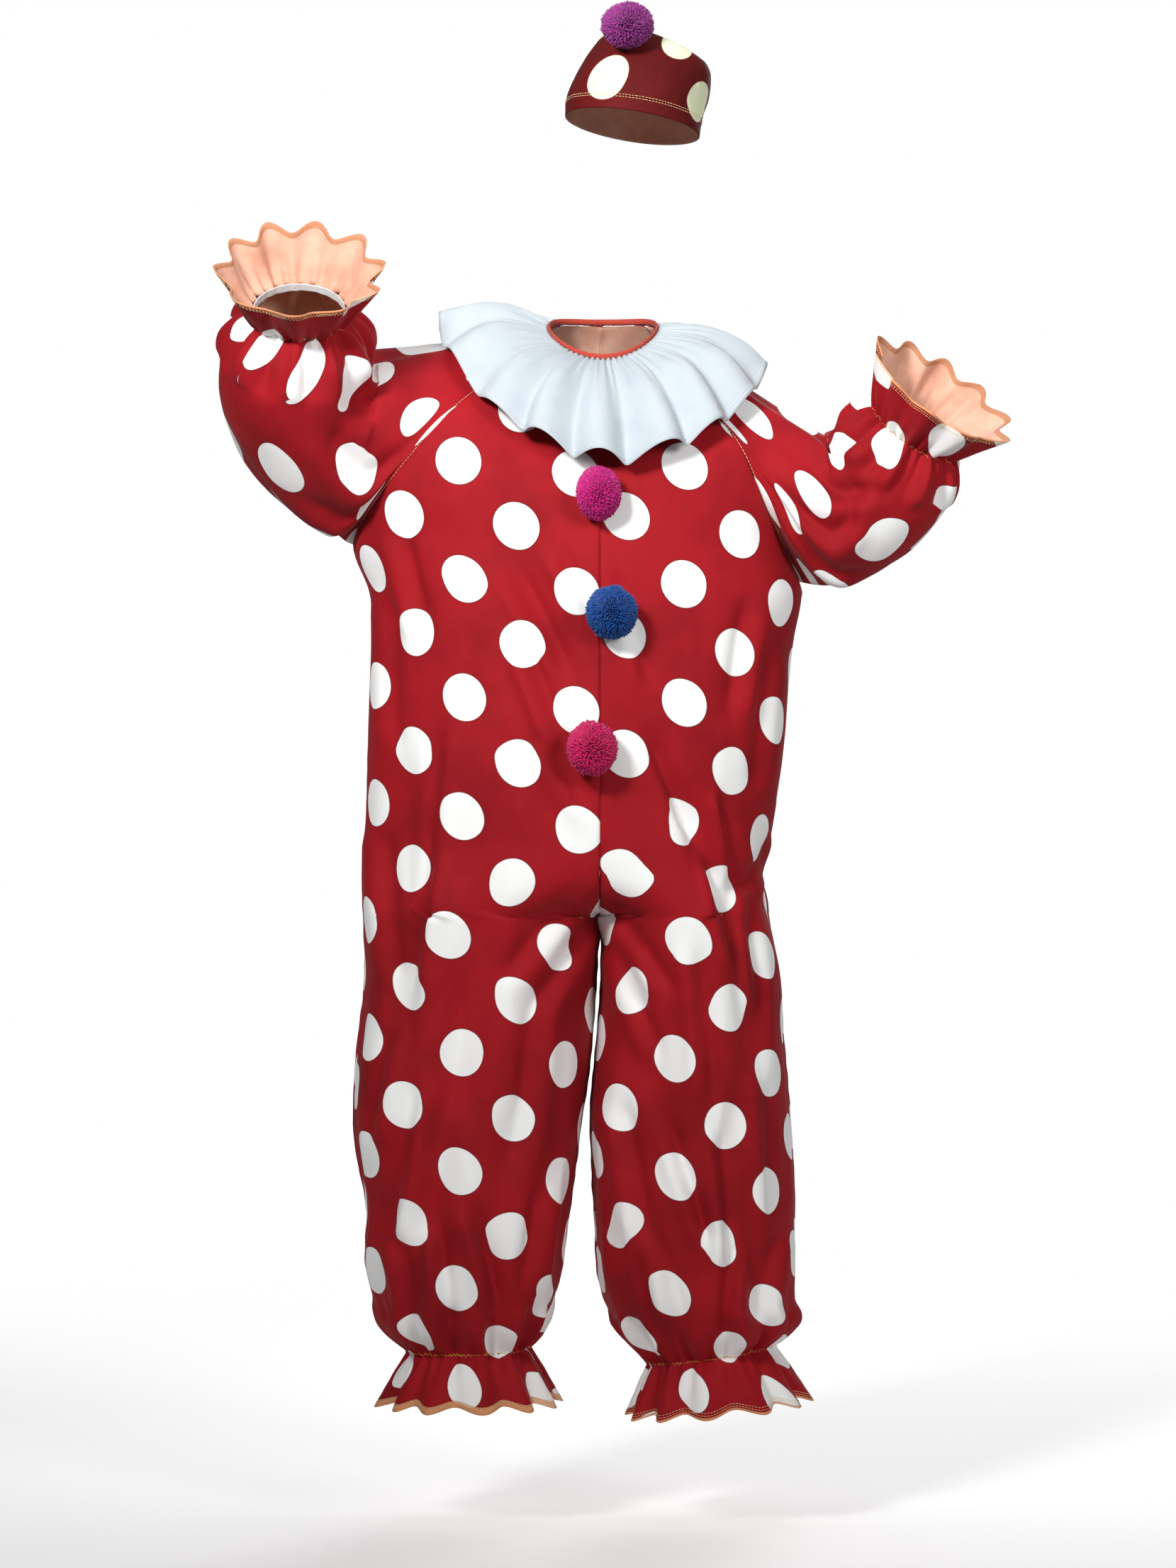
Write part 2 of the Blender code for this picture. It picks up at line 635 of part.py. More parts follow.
def sleeve_grid(side):
    """The points of a sleeve, ring by ring, with twice the columns in its gathers and ruffle."""
    fine = [i / (2 * SLEEVE_COLUMNS) for i in range(2 * SLEEVE_COLUMNS)]
    plain = [i / SLEEVE_UPPER_ROWS for i in range(SLEEVE_UPPER_ROWS)]
    plain += [1 + (GATHERS_ALONG - 1) * i / SLEEVE_FAN_ROWS for i in range(SLEEVE_FAN_ROWS)]
    gathered = [GATHERS_ALONG + (ELASTIC_ALONG - GATHERS_ALONG) * i / GATHER_ROWS
                for i in range(GATHER_ROWS + 1)]
    rows = [[sleeve_point(side, a, along) for a in fine[::2]] for along in plain]
    rows += [[sleeve_point(side, a, along) for a in fine] for along in gathered]
    rows += [[wrist_frill(side, a, (i + 1) / FRILL_ROWS) for a in fine]
             for i in range(FRILL_ROWS)]
    rows[0] = draw_back(rows[0], rows[1], SLEEVE_PULL, closed=True)
    return rows


def swung(swings, angle):
    """The sum of some slow variations at an angle round the collar."""
    return sum(swing.size * math.sin(swing.times * angle + swing.start) for swing in swings)


def collar_point(turn, share):
    """A point of the collar, from its sewn edge out to its rim."""
    brim = read(COLLAR_RIM, "turn", turn)
    inner = neckline(turn)
    radial = Vector((inner.x, inner.y, 0)).normalized()
    inner = inner + radial * COLLAR_INSET + Vector((0, 0, COLLAR_LIFT))
    rim = Vector((brim.x, brim.y, brim.z))
    across = Vector((-radial.y, radial.x, 0))
    raised = across.cross(rim - inner).normalized()
    if raised.z < 0:
        raised = -raised
    angle = math.radians(turn)
    depth = FLUTE_DEPTH * (FLUTE_MEAN + swung(FLUTE_SWELL, angle))
    wave = depth * share ** 0.9 * math.cos(angle * COLLAR_FLUTES + swung(FLUTE_DRIFT, angle))
    return inner.lerp(rim, share) + raised * (brim.arch * math.sin(math.pi * share) + wave)


def hat_point(turn, share):
    """A point of the hat's side: share runs from hem to crown edge."""
    ring = read(HAT_SIDE, "up", HAT_SIDE[-1].up * share)
    angle = math.radians(turn)
    pinch = math.exp(-((turn - HAT_PINCH_TURN) / HAT_PINCH_WIDTH) ** 2) * share ** 3
    point = Vector((ring.x + ring.half_width * math.sin(angle), -ring.half_depth * math.cos(angle),
                    ring.up - ring.rise * math.sin(angle) + HAT_PINCH_RISE * pinch))
    turned = Matrix.Rotation(math.radians(HAT_ROLL), 3, "Y")
    tipped = Matrix.Rotation(math.radians(-HAT_PITCH), 3, "X")
    return Vector(HAT_CENTRE) + turned @ (tipped @ point)


def hat_tip_point(turn, share):
    """A point of the hat's round tip, drawn in from the crown edge and sagging."""
    edge = hat_point(turn, 1)
    centre = (hat_point(0, 1) + hat_point(90, 1) + hat_point(180, 1) + hat_point(-90, 1)) / 4
    sag = Vector((0, 0, -HAT_TIP_SAG * (1 - share) ** 0.7))
    return centre.lerp(edge, share) + sag


def cloth_material(name, colour, roughness=0.85):
    """A plain matt finish in one colour."""
    material = bpy.data.materials.new(name)
    material.use_nodes = True
    shader = material.node_tree.nodes["Principled BSDF"]
    shader.inputs["Base Color"].default_value = colour
    shader.inputs["Roughness"].default_value = roughness
    shader.inputs["Metallic"].default_value = 0.0
    return material


def strip_faces(bm, upper, lower, closed):
    """Faces between two rows; the lower may have twice the columns of the upper."""
    step = 2 if len(lower) > len(upper) + 1 else 1
    count = len(upper) if closed else len(upper) - 1
    for i in range(count):
        j = (i + 1) % len(upper)
        if step == 1:
            bm.faces.new((upper[i], lower[i], lower[j], upper[j]))
            continue
        k, middle, after = 2 * i, 2 * i + 1, (2 * i + 2) % len(lower)
        bm.faces.new((upper[i], lower[k], lower[middle]))
        bm.faces.new((upper[i], lower[middle], upper[j]))
        bm.faces.new((upper[j], lower[middle], lower[after]))


def cloth(name, rows, closed, wall, material, capped=False, flip=False):
    """A sheet of cloth through rows of points, given its wall by Solidify."""
    bm = bmesh.new()
    rings = [[bm.verts.new(point) for point in row] for row in rows]
    for upper, lower in zip(rings, rings[1:]):
        strip_faces(bm, upper, lower, closed)
    if capped:
        last = rings[-1]
        centre = bm.verts.new(sum((v.co for v in last), Vector()) / len(last))
        for i, vert in enumerate(last):
            bm.faces.new((vert, centre, last[(i + 1) % len(last)]))
    if flip:
        bmesh.ops.reverse_faces(bm, faces=bm.faces)
    mesh = bpy.data.meshes.new(name)
    bm.to_mesh(mesh)
    bm.free()
    mesh.shade_smooth()
    mesh.materials.append(material)
    sheet = bpy.data.objects.new(name, mesh)
    parts.objects.link(sheet)
    solidify = sheet.modifiers.new("wall", "SOLIDIFY")
    solidify.thickness = wall
    solidify.offset = 0


def make_panels(material):
    """The four pieces of the jumpsuit's body, each from neckline to ankle ruffle."""
    for face, side in PANELS:
        cloth(f"{face}_{side}", panel_grid(face, side), False, CLOTH, material,
              flip=(face == "front") == (side == "right"))


def make_sleeves(material):
    """The two raglan sleeves, each from neckline to wrist ruffle."""
    for side in ARMS:
        cloth(f"sleeve_{side}", sleeve_grid(side), True, CLOTH, material, flip=side == "left")


def make_wrist_elastics(material):
    """The elastic stitched inside each wrist."""
    for side in ARMS:
        centre, out, front, travel, ring = arm_ring(side, ELASTIC_ALONG)
        rows = []
        for edge in (-0.5, 0.5):
            row = []
            for i in range(ELASTIC_STEPS):
                point = ring_point(side, i / ELASTIC_STEPS, ELASTIC_ALONG)
                inward = (centre - point).normalized() * ELASTIC_INSET
                row.append(point + inward + travel * (edge * ELASTIC_WIDTH))
            rows.append(row)
        cloth(f"wrist_elastic_{side}", rows, True, ELASTIC_CLOTH, material, flip=side == "left")


def make_collar(material):
    """The gathered collar, a flat ring thrown into flutes."""
    columns = COLLAR_FLUTES * COLLAR_STEPS
    rows = [[collar_point(360 * i / columns - 180, row / COLLAR_ROWS) for i in range(columns)]
            for row in range(COLLAR_ROWS + 1)]
    cloth("collar", rows, True, COLLAR_CLOTH, material)


def make_binding(material):
    """The narrow binding that stands round the neckline."""
    rows = []
    for level in (0, 1):
        lift = Vector((0, 0, BINDING_LIFT + BINDING_HEIGHT * level))
        rows.append([neckline(360 * i / BINDING_STEPS) + lift for i in range(BINDING_STEPS)])
    cloth("neck_binding", rows, True, BINDING_WIDTH, material, flip=True)


def make_hat(material):
    """The hat's side and its round tip."""
    turns = [360 * i / HAT_COLUMNS - 180 for i in range(HAT_COLUMNS)]
    side_rows = [[hat_point(turn, 1 - row / HAT_ROWS) for turn in turns]
                 for row in range(HAT_ROWS + 1)]
    cloth("hat_side", side_rows, True, CLOTH, material)
    edge = [hat_tip_point(turn, HAT_TIP_EDGE) for turn in turns]
    tip_rows = [edge] + [[hat_tip_point(turn, share) for turn in turns] for share in HAT_TIP_RINGS]
    cloth("hat_tip", tip_rows, True, CLOTH, material, capped=True, flip=True)


def make_pompom(pompom, seat, way):
    """A ball of locks whose roots are fused in one backing, out from its seat on the cloth."""
    bm = bmesh.new()
    bmesh.ops.create_cube(bm, size=2)
    bmesh.ops.subdivide_edges(bm, edges=bm.edges, cuts=LOCKS_PER_EDGE - 1, use_grid_fill=True)
    for vert in bm.verts:
        vert.co = vert.co.normalized() * LOCK_ROOT
    locks = bmesh.ops.extrude_discrete_faces(bm, faces=bm.faces)["faces"]
    for index, lock in enumerate(locks):
        middle = lock.calc_center_median().normalized()
        length = 1 + LOCK_UNEVENNESS * math.sin(LOCK_RHYTHM * index)
        for vert in lock.verts:
            vert.co = vert.co.normalized().lerp(middle, LOCK_GROOVE).normalized() * length
    size = Vector((pompom.half_width, pompom.half_width, pompom.half_height))
    for vert in bm.verts:
        if vert.co.y > 0:
            vert.co.y *= POMPOM_BACK
        vert.co = vert.co * size
    stand_off = CLOTH / 2 + POMPOM_GAP + max(vert.co.y for vert in bm.verts)
    mesh = bpy.data.meshes.new(pompom.name)
    bm.to_mesh(mesh)
    bm.free()
    mesh.materials.append(cloth_material(pompom.name + "_yarn", pompom.colour, 0.95))
    ball = bpy.data.objects.new(pompom.name, mesh)
    ball.location = seat + way.normalized() * stand_off + Vector((pompom.shift, 0, 0))
    ball.rotation_euler = way.to_track_quat("-Y", "Z").to_euler()
    parts.objects.link(ball)


for old in list(bpy.data.objects):
    bpy.data.objects.remove(old, do_unlink=True)
parts = bpy.data.collections.new("clown_costume")
bpy.context.scene.collection.children.link(parts)

red_cloth = cloth_material("dotted_red_cloth", RED, 0.75)
make_panels(red_cloth)
make_sleeves(red_cloth)
make_wrist_elastics(cloth_material("white_elastic", ELASTIC_WHITE))
make_collar(cloth_material("white_collar_cloth", WHITE))
make_binding(cloth_material("red_binding", RED))
make_hat(red_cloth)
for button in POMPOMS:
    seat, above, below = (body_base("front", "right", 0, button.down + step)
                          for step in (0, -SLOPE_STEP, SLOPE_STEP))
    make_pompom(button, seat, Vector((1, 0, 0)).cross(above - below))
turn, share = HAT_POMPOM_TURN, HAT_POMPOM_SHARE
round_hat = hat_point(turn + HAT_TURN_STEP, share) - hat_point(turn - HAT_TURN_STEP, share)
up_hat = hat_point(turn, share + HAT_SHARE_STEP) - hat_point(turn, share - HAT_SHARE_STEP)
make_pompom(HAT_POMPOM, hat_point(turn, share), round_hat.cross(up_hat))
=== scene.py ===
"""Dresses the clown costume: dotted jumpsuit, gathered collar, pompoms and a soft hat.

Metres, +Z up.  The front faces -Y and the wearer's right is at -X.  Every sheet of cloth
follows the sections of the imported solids, read much closer together, and adds the smaller
folds, puckers, hems and stitches that show from a step away.
"""
import bisect
import logging
import math
from dataclasses import dataclass, field
from enum import Enum
from functools import lru_cache
from typing import Callable, NamedTuple, Optional, Sequence, Union

import bmesh
import bpy
from mathutils import Matrix, Vector, noise


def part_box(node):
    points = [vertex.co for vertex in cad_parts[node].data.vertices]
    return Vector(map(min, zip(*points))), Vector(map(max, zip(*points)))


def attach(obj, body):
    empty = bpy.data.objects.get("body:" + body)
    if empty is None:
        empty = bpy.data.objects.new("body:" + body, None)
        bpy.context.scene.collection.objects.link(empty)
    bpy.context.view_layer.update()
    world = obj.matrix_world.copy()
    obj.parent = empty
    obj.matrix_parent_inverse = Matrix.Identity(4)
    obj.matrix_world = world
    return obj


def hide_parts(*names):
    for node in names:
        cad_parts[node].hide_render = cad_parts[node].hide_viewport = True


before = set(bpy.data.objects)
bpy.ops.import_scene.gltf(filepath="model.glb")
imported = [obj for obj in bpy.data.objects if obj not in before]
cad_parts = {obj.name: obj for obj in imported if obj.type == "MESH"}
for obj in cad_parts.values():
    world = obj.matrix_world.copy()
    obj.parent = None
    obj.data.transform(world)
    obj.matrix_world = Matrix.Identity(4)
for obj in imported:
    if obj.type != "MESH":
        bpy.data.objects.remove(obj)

LOG = logging.getLogger("clown_costume")

Rows = list[list[Vector]]
Colour = tuple[float, float, float, float]


class Side(Enum):
    """A side of the wearer."""

    RIGHT = "right"
    LEFT = "left"

    @property
    def hand(self) -> int:
        """The sign of X on this side."""
        return -1 if self is Side.RIGHT else 1


class Face(Enum):
    """The front or the back of the suit."""

    FRONT = "front"
    BACK = "back"

    @property
    def way(self) -> int:
        """The sign of Y on this face."""
        return -1 if self is Face.FRONT else 1


class Seam(NamedTuple):
    """A bodice row: its centre point and its point on the raglan seam."""

    mid_y: float
    mid_z: float
    side_x: float
    side_y: float
    side_z: float
    arc: float


class Girth(NamedTuple):
    """One level of the torso, measured on both sides."""

    level: float
    right_x: float
    right_z: float
    left_x: float
    left_z: float
    front: float
    back: float
    crown: float


class Leg(NamedTuple):
    """One level of a leg: inseam, outseam and depth."""

    inseam_x: float
    inseam_z: float
    outseam_x: float
    outseam_z: float
    front: float
    back: float


class Row(NamedTuple):
    """A half row of cloth, from the centre seam or inseam to the side."""

    down: float
    mid_x: float
    mid_z: float
    inner_y: float
    crest_y: float
    side_x: float
    side_y: float
    side_z: float
    crown: float
    arc: float


class Fold(NamedTuple):
    """A soft trough, as seen from the front: end points, width and depth."""

    x0: float
    z0: float
    x1: float
    z1: float
    width: float
    depth: float


class Frill(NamedTuple):
    """The ruffle below an elastic: how it spreads from the elastic to its hem."""

    length: float
    spread: float
    wave: float


class Ring(NamedTuple):
    """A ring round an arm, on a half plane that turns about the inner elbow."""

    along: float
    turn: float
    slide: float
    offset: float
    reach: float
    span: float


class Section(NamedTuple):
    """A ring in its place: its centre, three directions from it, and the ring's row."""

    centre: Vector
    out: Vector
    front: Vector
    travel: Vector
    ring: Ring


class Arm(NamedTuple):
    """A sleeve: the inner elbow, the two arm directions, and the rings along it."""

    twist: float
    elbow: tuple[float, float, float]
    upper: tuple[float, float, float]
    fore: tuple[float, float, float]
    rings: tuple[Ring, ...]


class Crease(NamedTuple):
    """A trough on a sleeve, by its turn round and place along, with width and depth."""

    turn0: float
    along0: float
    turn1: float
    along1: float
    width: float
    depth: float


class Brim(NamedTuple):
    """A point of the collar's outer edge, by its turn from centre front."""

    turn: float
    x: float
    y: float
    z: float
    arch: float


class Swing(NamedTuple):
    """A slow variation round the collar: how many times, how much, where it starts."""

    times: int
    size: float
    start: float


class Onset(NamedTuple):
    """Where something sets in, and over what length; below zero it sets in backwards."""

    start: float
    length: float

    def share(self, place: float) -> float:
        """How much of it there is at a place, from 0 to 1."""
        return eased((place - self.start) / self.length)


class HatRing(NamedTuple):
    """A ring of the hat's side, from its hem up; rise lifts it on the wearer's right."""

    up: float
    x: float
    half_width: float
    half_depth: float
    rise: float


class Print(NamedTuple):
    """Where the dots fall on a piece: the place of one dot, and how far the grain leans."""

    across: float
    down: float
    lean: float


def folds(*rows: tuple[float, ...]) -> tuple[Fold, ...]:
    """Folds from rows in millimetres."""
    return tuple(Fold(*(number / 1000 for number in row)) for row in rows)


BODICE = {
    (Face.FRONT, Side.RIGHT): (
        Seam(-0.060, -0.012, -0.0536, -0.0369, 0.0082, 52),
        Seam(-0.094, -0.064, -0.110, -0.076, -0.024, 55),
        Seam(-0.124, -0.113, -0.170, -0.110, -0.062, 60),
        Seam(-0.148, -0.160, -0.228, -0.124, -0.122, 66),
        Seam(-0.160, -0.210, -0.281, -0.092, -0.186, 76),
        Seam(-0.168, -0.260, -0.313, 0.000, -0.238, 90)),
    (Face.FRONT, Side.LEFT): (
        Seam(-0.060, -0.012, 0.0536, -0.0369, 0.0082, 52),
        Seam(-0.094, -0.064, 0.096, -0.078, -0.040, 55),
        Seam(-0.124, -0.113, 0.140, -0.110, -0.084, 60),
        Seam(-0.148, -0.160, 0.173, -0.126, -0.132, 66),
        Seam(-0.160, -0.210, 0.204, -0.100, -0.202, 76),
        Seam(-0.168, -0.260, 0.247, 0.000, -0.285, 90)),
    (Face.BACK, Side.RIGHT): (
        Seam(0.060, 0.042, -0.0536, 0.0369, 0.0405, 52),
        Seam(0.094, 0.002, -0.106, 0.078, 0.008, 55),
        Seam(0.124, -0.060, -0.170, 0.112, -0.036, 60),
        Seam(0.142, -0.125, -0.226, 0.118, -0.108, 66),
        Seam(0.152, -0.190, -0.281, 0.084, -0.182, 76),
        Seam(0.158, -0.260, -0.313, 0.000, -0.238, 90)),
    (Face.BACK, Side.LEFT): (
        Seam(0.060, 0.042, 0.0536, 0.0369, 0.0405, 52),
        Seam(0.094, 0.002, 0.096, 0.078, -0.006, 55),
        Seam(0.124, -0.060, 0.142, 0.112, -0.052, 60),
        Seam(0.142, -0.125, 0.176, 0.120, -0.122, 66),
        Seam(0.152, -0.190, 0.204, 0.096, -0.200, 76),
        Seam(0.158, -0.260, 0.247, 0.000, -0.285, 90)),
}

TORSO = (
    Girth(-0.310, -0.291, -0.302, 0.249, -0.312, -0.176, 0.163, 0.00),
    Girth(-0.355, -0.288, -0.353, 0.240, -0.356, -0.182, 0.165, 0.00),
    Girth(-0.410, -0.290, -0.410, 0.233, -0.410, -0.187, 0.166, 0.00),
    Girth(-0.490, -0.294, -0.490, 0.226, -0.490, -0.190, 0.168, 0.00),
    Girth(-0.560, -0.296, -0.560, 0.217, -0.560, -0.188, 0.168, 0.00),
    Girth(-0.615, -0.298, -0.615, 0.207, -0.615, -0.182, 0.167, 0.08),
    Girth(-0.655, -0.300, -0.655, 0.198, -0.655, -0.176, 0.165, 0.40),
    Girth(-0.685, -0.300, -0.685, 0.202, -0.685, -0.170, 0.162, 0.80),
    Girth(-0.705, -0.299, -0.705, 0.206, -0.705, -0.166, 0.160, 1.00),
)

LEGS = {
    Side.RIGHT: (
        Leg(-0.0100, -0.760, -0.297, -0.760, -0.158, 0.155),
        Leg(-0.0155, -0.820, -0.301, -0.820, -0.152, 0.150),
        Leg(-0.0210, -0.890, -0.309, -0.890, -0.146, 0.146),
        Leg(-0.0340, -0.980, -0.310, -0.980, -0.140, 0.142),
        Leg(-0.0420, -1.070, -0.290, -1.068, -0.135, 0.137),
        Leg(-0.0516, -1.140, -0.293, -1.139, -0.128, 0.130),
        Leg(-0.0650, -1.184, -0.280, -1.184, -0.119, 0.121),
        Leg(-0.0790, -1.218, -0.267, -1.219, -0.103, 0.105),
        Leg(-0.0960, -1.248, -0.238, -1.250, -0.073, 0.073)),
    Side.LEFT: (
        Leg(0.0015, -0.760, 0.217, -0.758, -0.158, 0.155),
        Leg(0.0005, -0.820, 0.2225, -0.819, -0.150, 0.150),
        Leg(-0.0060, -0.890, 0.227, -0.890, -0.144, 0.145),
        Leg(-0.0116, -0.980, 0.2305, -0.979, -0.138, 0.140),
        Leg(-0.0080, -1.070, 0.235, -1.066, -0.134, 0.135),
        Leg(-0.0045, -1.140, 0.237, -1.136, -0.127, 0.129),
        Leg(0.0060, -1.190, 0.239, -1.180, -0.119, 0.121),
        Leg(0.0270, -1.228, 0.240, -1.212, -0.104, 0.106),
        Leg(0.0630, -1.266, 0.209, -1.243, -0.073, 0.073)),
}

FOLDS = {
    (Face.FRONT, Side.RIGHT): folds(
        (-107, -270, -18, -440, 30, 9), (-250, -560, -255, -820, 26, 12),
        (-150, -700, -165, -900, 28, 12), (-178, -820, -212, -1060, 24, 12),
        (-120, -980, -140, -1180, 22, 9)),
    (Face.FRONT, Side.LEFT): folds(
        (58, -500, 85, -560, 26, 8), (118, -590, 165, -700, 22, 14),
        (165, -700, 182, -860, 22, 12), (60, -900, 110, -1120, 26, 10),
        (170, -960, 190, -1170, 22, 10)),
    (Face.BACK, Side.RIGHT): folds(
        (-90, -240, -40, -420, 32, 8), (-200, -540, -215, -800, 28, 12),
        (-110, -700, -130, -930, 28, 11), (-190, -900, -210, -1150, 24, 11)),
    (Face.BACK, Side.LEFT): folds(
        (80, -250, 30, -420, 32, 8), (150, -540, 165, -790, 26, 12), (80, -720, 90, -930, 26, 10),
        (140, -930, 160, -1150, 24, 11)),
}

WRINKLES = {
    (Face.FRONT, Side.RIGHT): folds(
        (-85, -395, -52, -480, 11, 4.2), (-100, -300, -60, -372, 12, 4),
        (-45, -270, -10, -330, 11, 2.8), (-60, -505, -20, -560, 12, 3),
        (-245, -250, -225, -330, 12, 3.8), (-262, -330, -258, -470, 11, 3),
        (-205, -500, -215, -600, 12, 2.6), (-275, -620, -262, -760, 10, 3.4),
        (-215, -640, -238, -770, 11, 3.6), (-52, -690, -110, -760, 13, 4),
        (-30, -725, -75, -800, 11, 3.4), (-88, -830, -104, -985, 13, 4),
        (-235, -930, -262, -1080, 12, 4.6), (-270, -860, -285, -960, 10, 3),
        (-155, -1080, -128, -1170, 11, 4.6), (-85, -1060, -100, -1150, 11, 3.8),
        (-200, -1110, -190, -1190, 10, 4.4), (-250, -1120, -232, -1200, 10, 4.2)),
    (Face.FRONT, Side.LEFT): folds(
        (20, -300, 52, -395, 12, 3), (70, -505, 110, -590, 11, 3.8),
        (150, -570, 168, -650, 9, 4.8), (205, -620, 183, -662, 9, 4),
        (140, -655, 162, -745, 9, 5), (190, -680, 196, -800, 9, 4.2),
        (175, -340, 160, -430, 12, 3.4), (200, -400, 190, -520, 11, 2.8),
        (22, -700, 70, -770, 12, 4), (30, -760, 60, -850, 11, 3.4),
        (120, -770, 135, -900, 12, 3.6), (30, -960, 52, -1080, 12, 4),
        (90, -980, 128, -1090, 11, 4.6), (145, -990, 158, -1110, 10, 4.4),
        (200, -930, 208, -1060, 11, 3.6), (75, -1120, 98, -1200, 11, 4.4),
        (160, -1130, 150, -1205, 10, 4.2), (210, -1120, 196, -1190, 10, 4)),
    (Face.BACK, Side.RIGHT): folds(
        (-150, -180, -100, -280, 12, 3.6), (-60, -330, -30, -430, 12, 3.4),
        (-240, -270, -210, -380, 11, 3.8), (-130, -520, -150, -640, 12, 3.2),
        (-250, -600, -240, -740, 11, 3.8), (-40, -690, -85, -770, 12, 4.2),
        (-160, -780, -172, -920, 12, 4.2), (-250, -860, -262, -1010, 11, 3.8),
        (-110, -990, -130, -1120, 11, 4.2), (-165, -1070, -155, -1170, 10, 4.4),
        (-235, -1080, -225, -1180, 10, 4.2)),
    (Face.BACK, Side.LEFT): folds(
        (125, -190, 80, -290, 12, 3.6), (50, -330, 22, -430, 12, 3.2),
        (185, -310, 165, -430, 11, 3.6), (100, -530, 115, -650, 12, 3.2),
        (190, -620, 180, -740, 10, 4), (30, -700, 70, -780, 12, 4.2),
        (130, -800, 140, -930, 11, 4), (190, -880, 200, -1010, 11, 3.6),
        (60, -980, 85, -1110, 11, 4.2), (110, -1080, 120, -1180, 10, 4.4),
        (190, -1080, 180, -1180, 10, 4.2)),
}

ARMS = {
    Side.RIGHT: Arm(0.11, (-0.278, -0.090, -0.018), (-0.97, 0.05, -0.20), (0.03, -0.63, 0.78), (
        Ring(1.00, 0.31, 0.000, 0.124, 0.117, 0.120),
        Ring(1.35, 0.51, 0.000, 0.114, 0.107, 0.118),
        Ring(1.70, 0.74, 0.000, 0.106, 0.099, 0.114),
        Ring(2.00, 1.00, 0.000, 0.102, 0.095, 0.106),
        Ring(2.30, 1.00, 0.026, 0.101, 0.093, 0.100),
        Ring(2.60, 1.00, 0.050, 0.100, 0.084, 0.089),
        Ring(2.82, 1.00, 0.066, 0.099, 0.072, 0.075),
        Ring(3.00, 1.00, 0.078, 0.098, 0.060, 0.061))),
    Side.LEFT: Arm(0.08, (0.276, -0.085, -0.112), (0.87, 0.25, -0.42), (0.52, -0.41, 0.75), (
        Ring(1.00, 0.42, 0.000, 0.098, 0.092, 0.100),
        Ring(1.35, 0.58, 0.000, 0.095, 0.089, 0.099),
        Ring(1.70, 0.77, 0.000, 0.092, 0.086, 0.097),
        Ring(2.00, 1.00, 0.000, 0.090, 0.084, 0.093),
        Ring(2.30, 1.00, 0.022, 0.090, 0.083, 0.090),
        Ring(2.60, 1.00, 0.042, 0.090, 0.076, 0.082),
        Ring(2.82, 1.00, 0.056, 0.089, 0.068, 0.071),
        Ring(3.00, 1.00, 0.068, 0.088, 0.058, 0.060))),
}

SLEEVE_CREASES = {
    Side.RIGHT: (
        Crease(0.20, 1.15, 0.24, 2.10, 0.016, 0.0070),
        Crease(0.32, 0.70, 0.30, 1.60, 0.014, 0.0060),
        Crease(0.12, 1.45, 0.16, 2.35, 0.012, 0.0050),
        Crease(0.40, 0.45, 0.42, 1.10, 0.014, 0.0050),
        Crease(0.06, 0.60, 0.10, 1.30, 0.013, 0.0045),
        Crease(0.52, 0.60, 0.55, 1.50, 0.015, 0.0050),
        Crease(0.66, 1.00, 0.64, 1.90, 0.014, 0.0050),
        Crease(0.80, 0.80, 0.78, 1.80, 0.014, 0.0050),
        Crease(0.92, 1.10, 0.90, 2.10, 0.012, 0.0045)),
    Side.LEFT: (
        Crease(0.20, 0.90, 0.24, 1.80, 0.014, 0.0070),
        Crease(0.32, 0.60, 0.28, 1.40, 0.014, 0.0060),
        Crease(0.10, 1.20, 0.14, 2.20, 0.012, 0.0050),
        Crease(0.38, 0.30, 0.42, 1.00, 0.013, 0.0050),
        Crease(0.05, 0.50, 0.08, 1.20, 0.012, 0.0045),
        Crease(0.54, 0.70, 0.52, 1.60, 0.014, 0.0050),
        Crease(0.68, 0.90, 0.70, 1.80, 0.013, 0.0050),
        Crease(0.82, 0.70, 0.80, 1.60, 0.013, 0.0050),
        Crease(0.94, 1.20, 0.92, 2.20, 0.012, 0.0045)),
}

COLLAR_RIM = (
    Brim(-180, 0.000, 0.172, -0.050, 0.014),
    Brim(-135, -0.150, 0.130, 0.018, 0.020),
    Brim(-90, -0.207, -0.010, 0.040, 0.022),
    Brim(-45, -0.141, -0.143, -0.070, 0.024),
    Brim(0, 0.004, -0.180, -0.141, 0.018),
    Brim(45, 0.139, -0.150, -0.098, 0.024),
    Brim(90, 0.203, -0.018, -0.022, 0.022),
    Brim(135, 0.148, 0.128, -0.020, 0.018),
    Brim(180, 0.000, 0.172, -0.050, 0.014),
)

FLUTE_DRIFT = (Swing(2, 0.70, 0.8), Swing(5, 0.49, 2.0))
FLUTE_MEAN = 0.80
FLUTE_SWELL = (Swing(3, 0.20, 1.1),)

HAT_SIDE = (
    HatRing(0.000, 0.000, 0.0850, 0.0900, 0.000),
    HatRing(0.030, -0.001, 0.0860, 0.0905, 0.000),
    HatRing(0.060, 0.006, 0.0820, 0.0880, 0.004),
    HatRing(0.085, 0.016, 0.0720, 0.0810, 0.010),
    HatRing(0.102, 0.022, 0.0620, 0.0720, 0.016),
)

PANEL_PRINTS = {
    (Face.FRONT, Side.RIGHT): Print(0.030, -0.3035, 0.11),
    (Face.FRONT, Side.LEFT): Print(0.032, -0.2110, -0.14),
    (Face.BACK, Side.RIGHT): Print(0.045, -0.2600, 0.05),
    (Face.BACK, Side.LEFT): Print(0.020, -0.2300, -0.04),
}
SLEEVE_PRINTS = {
    Side.RIGHT: Print(0.020, 0.060, 0.05),
    Side.LEFT: Print(0.010, 0.040, -0.05),
}

# Without a seed of its own, the yarn's noise would follow the clock.
YARN_SEED = 7

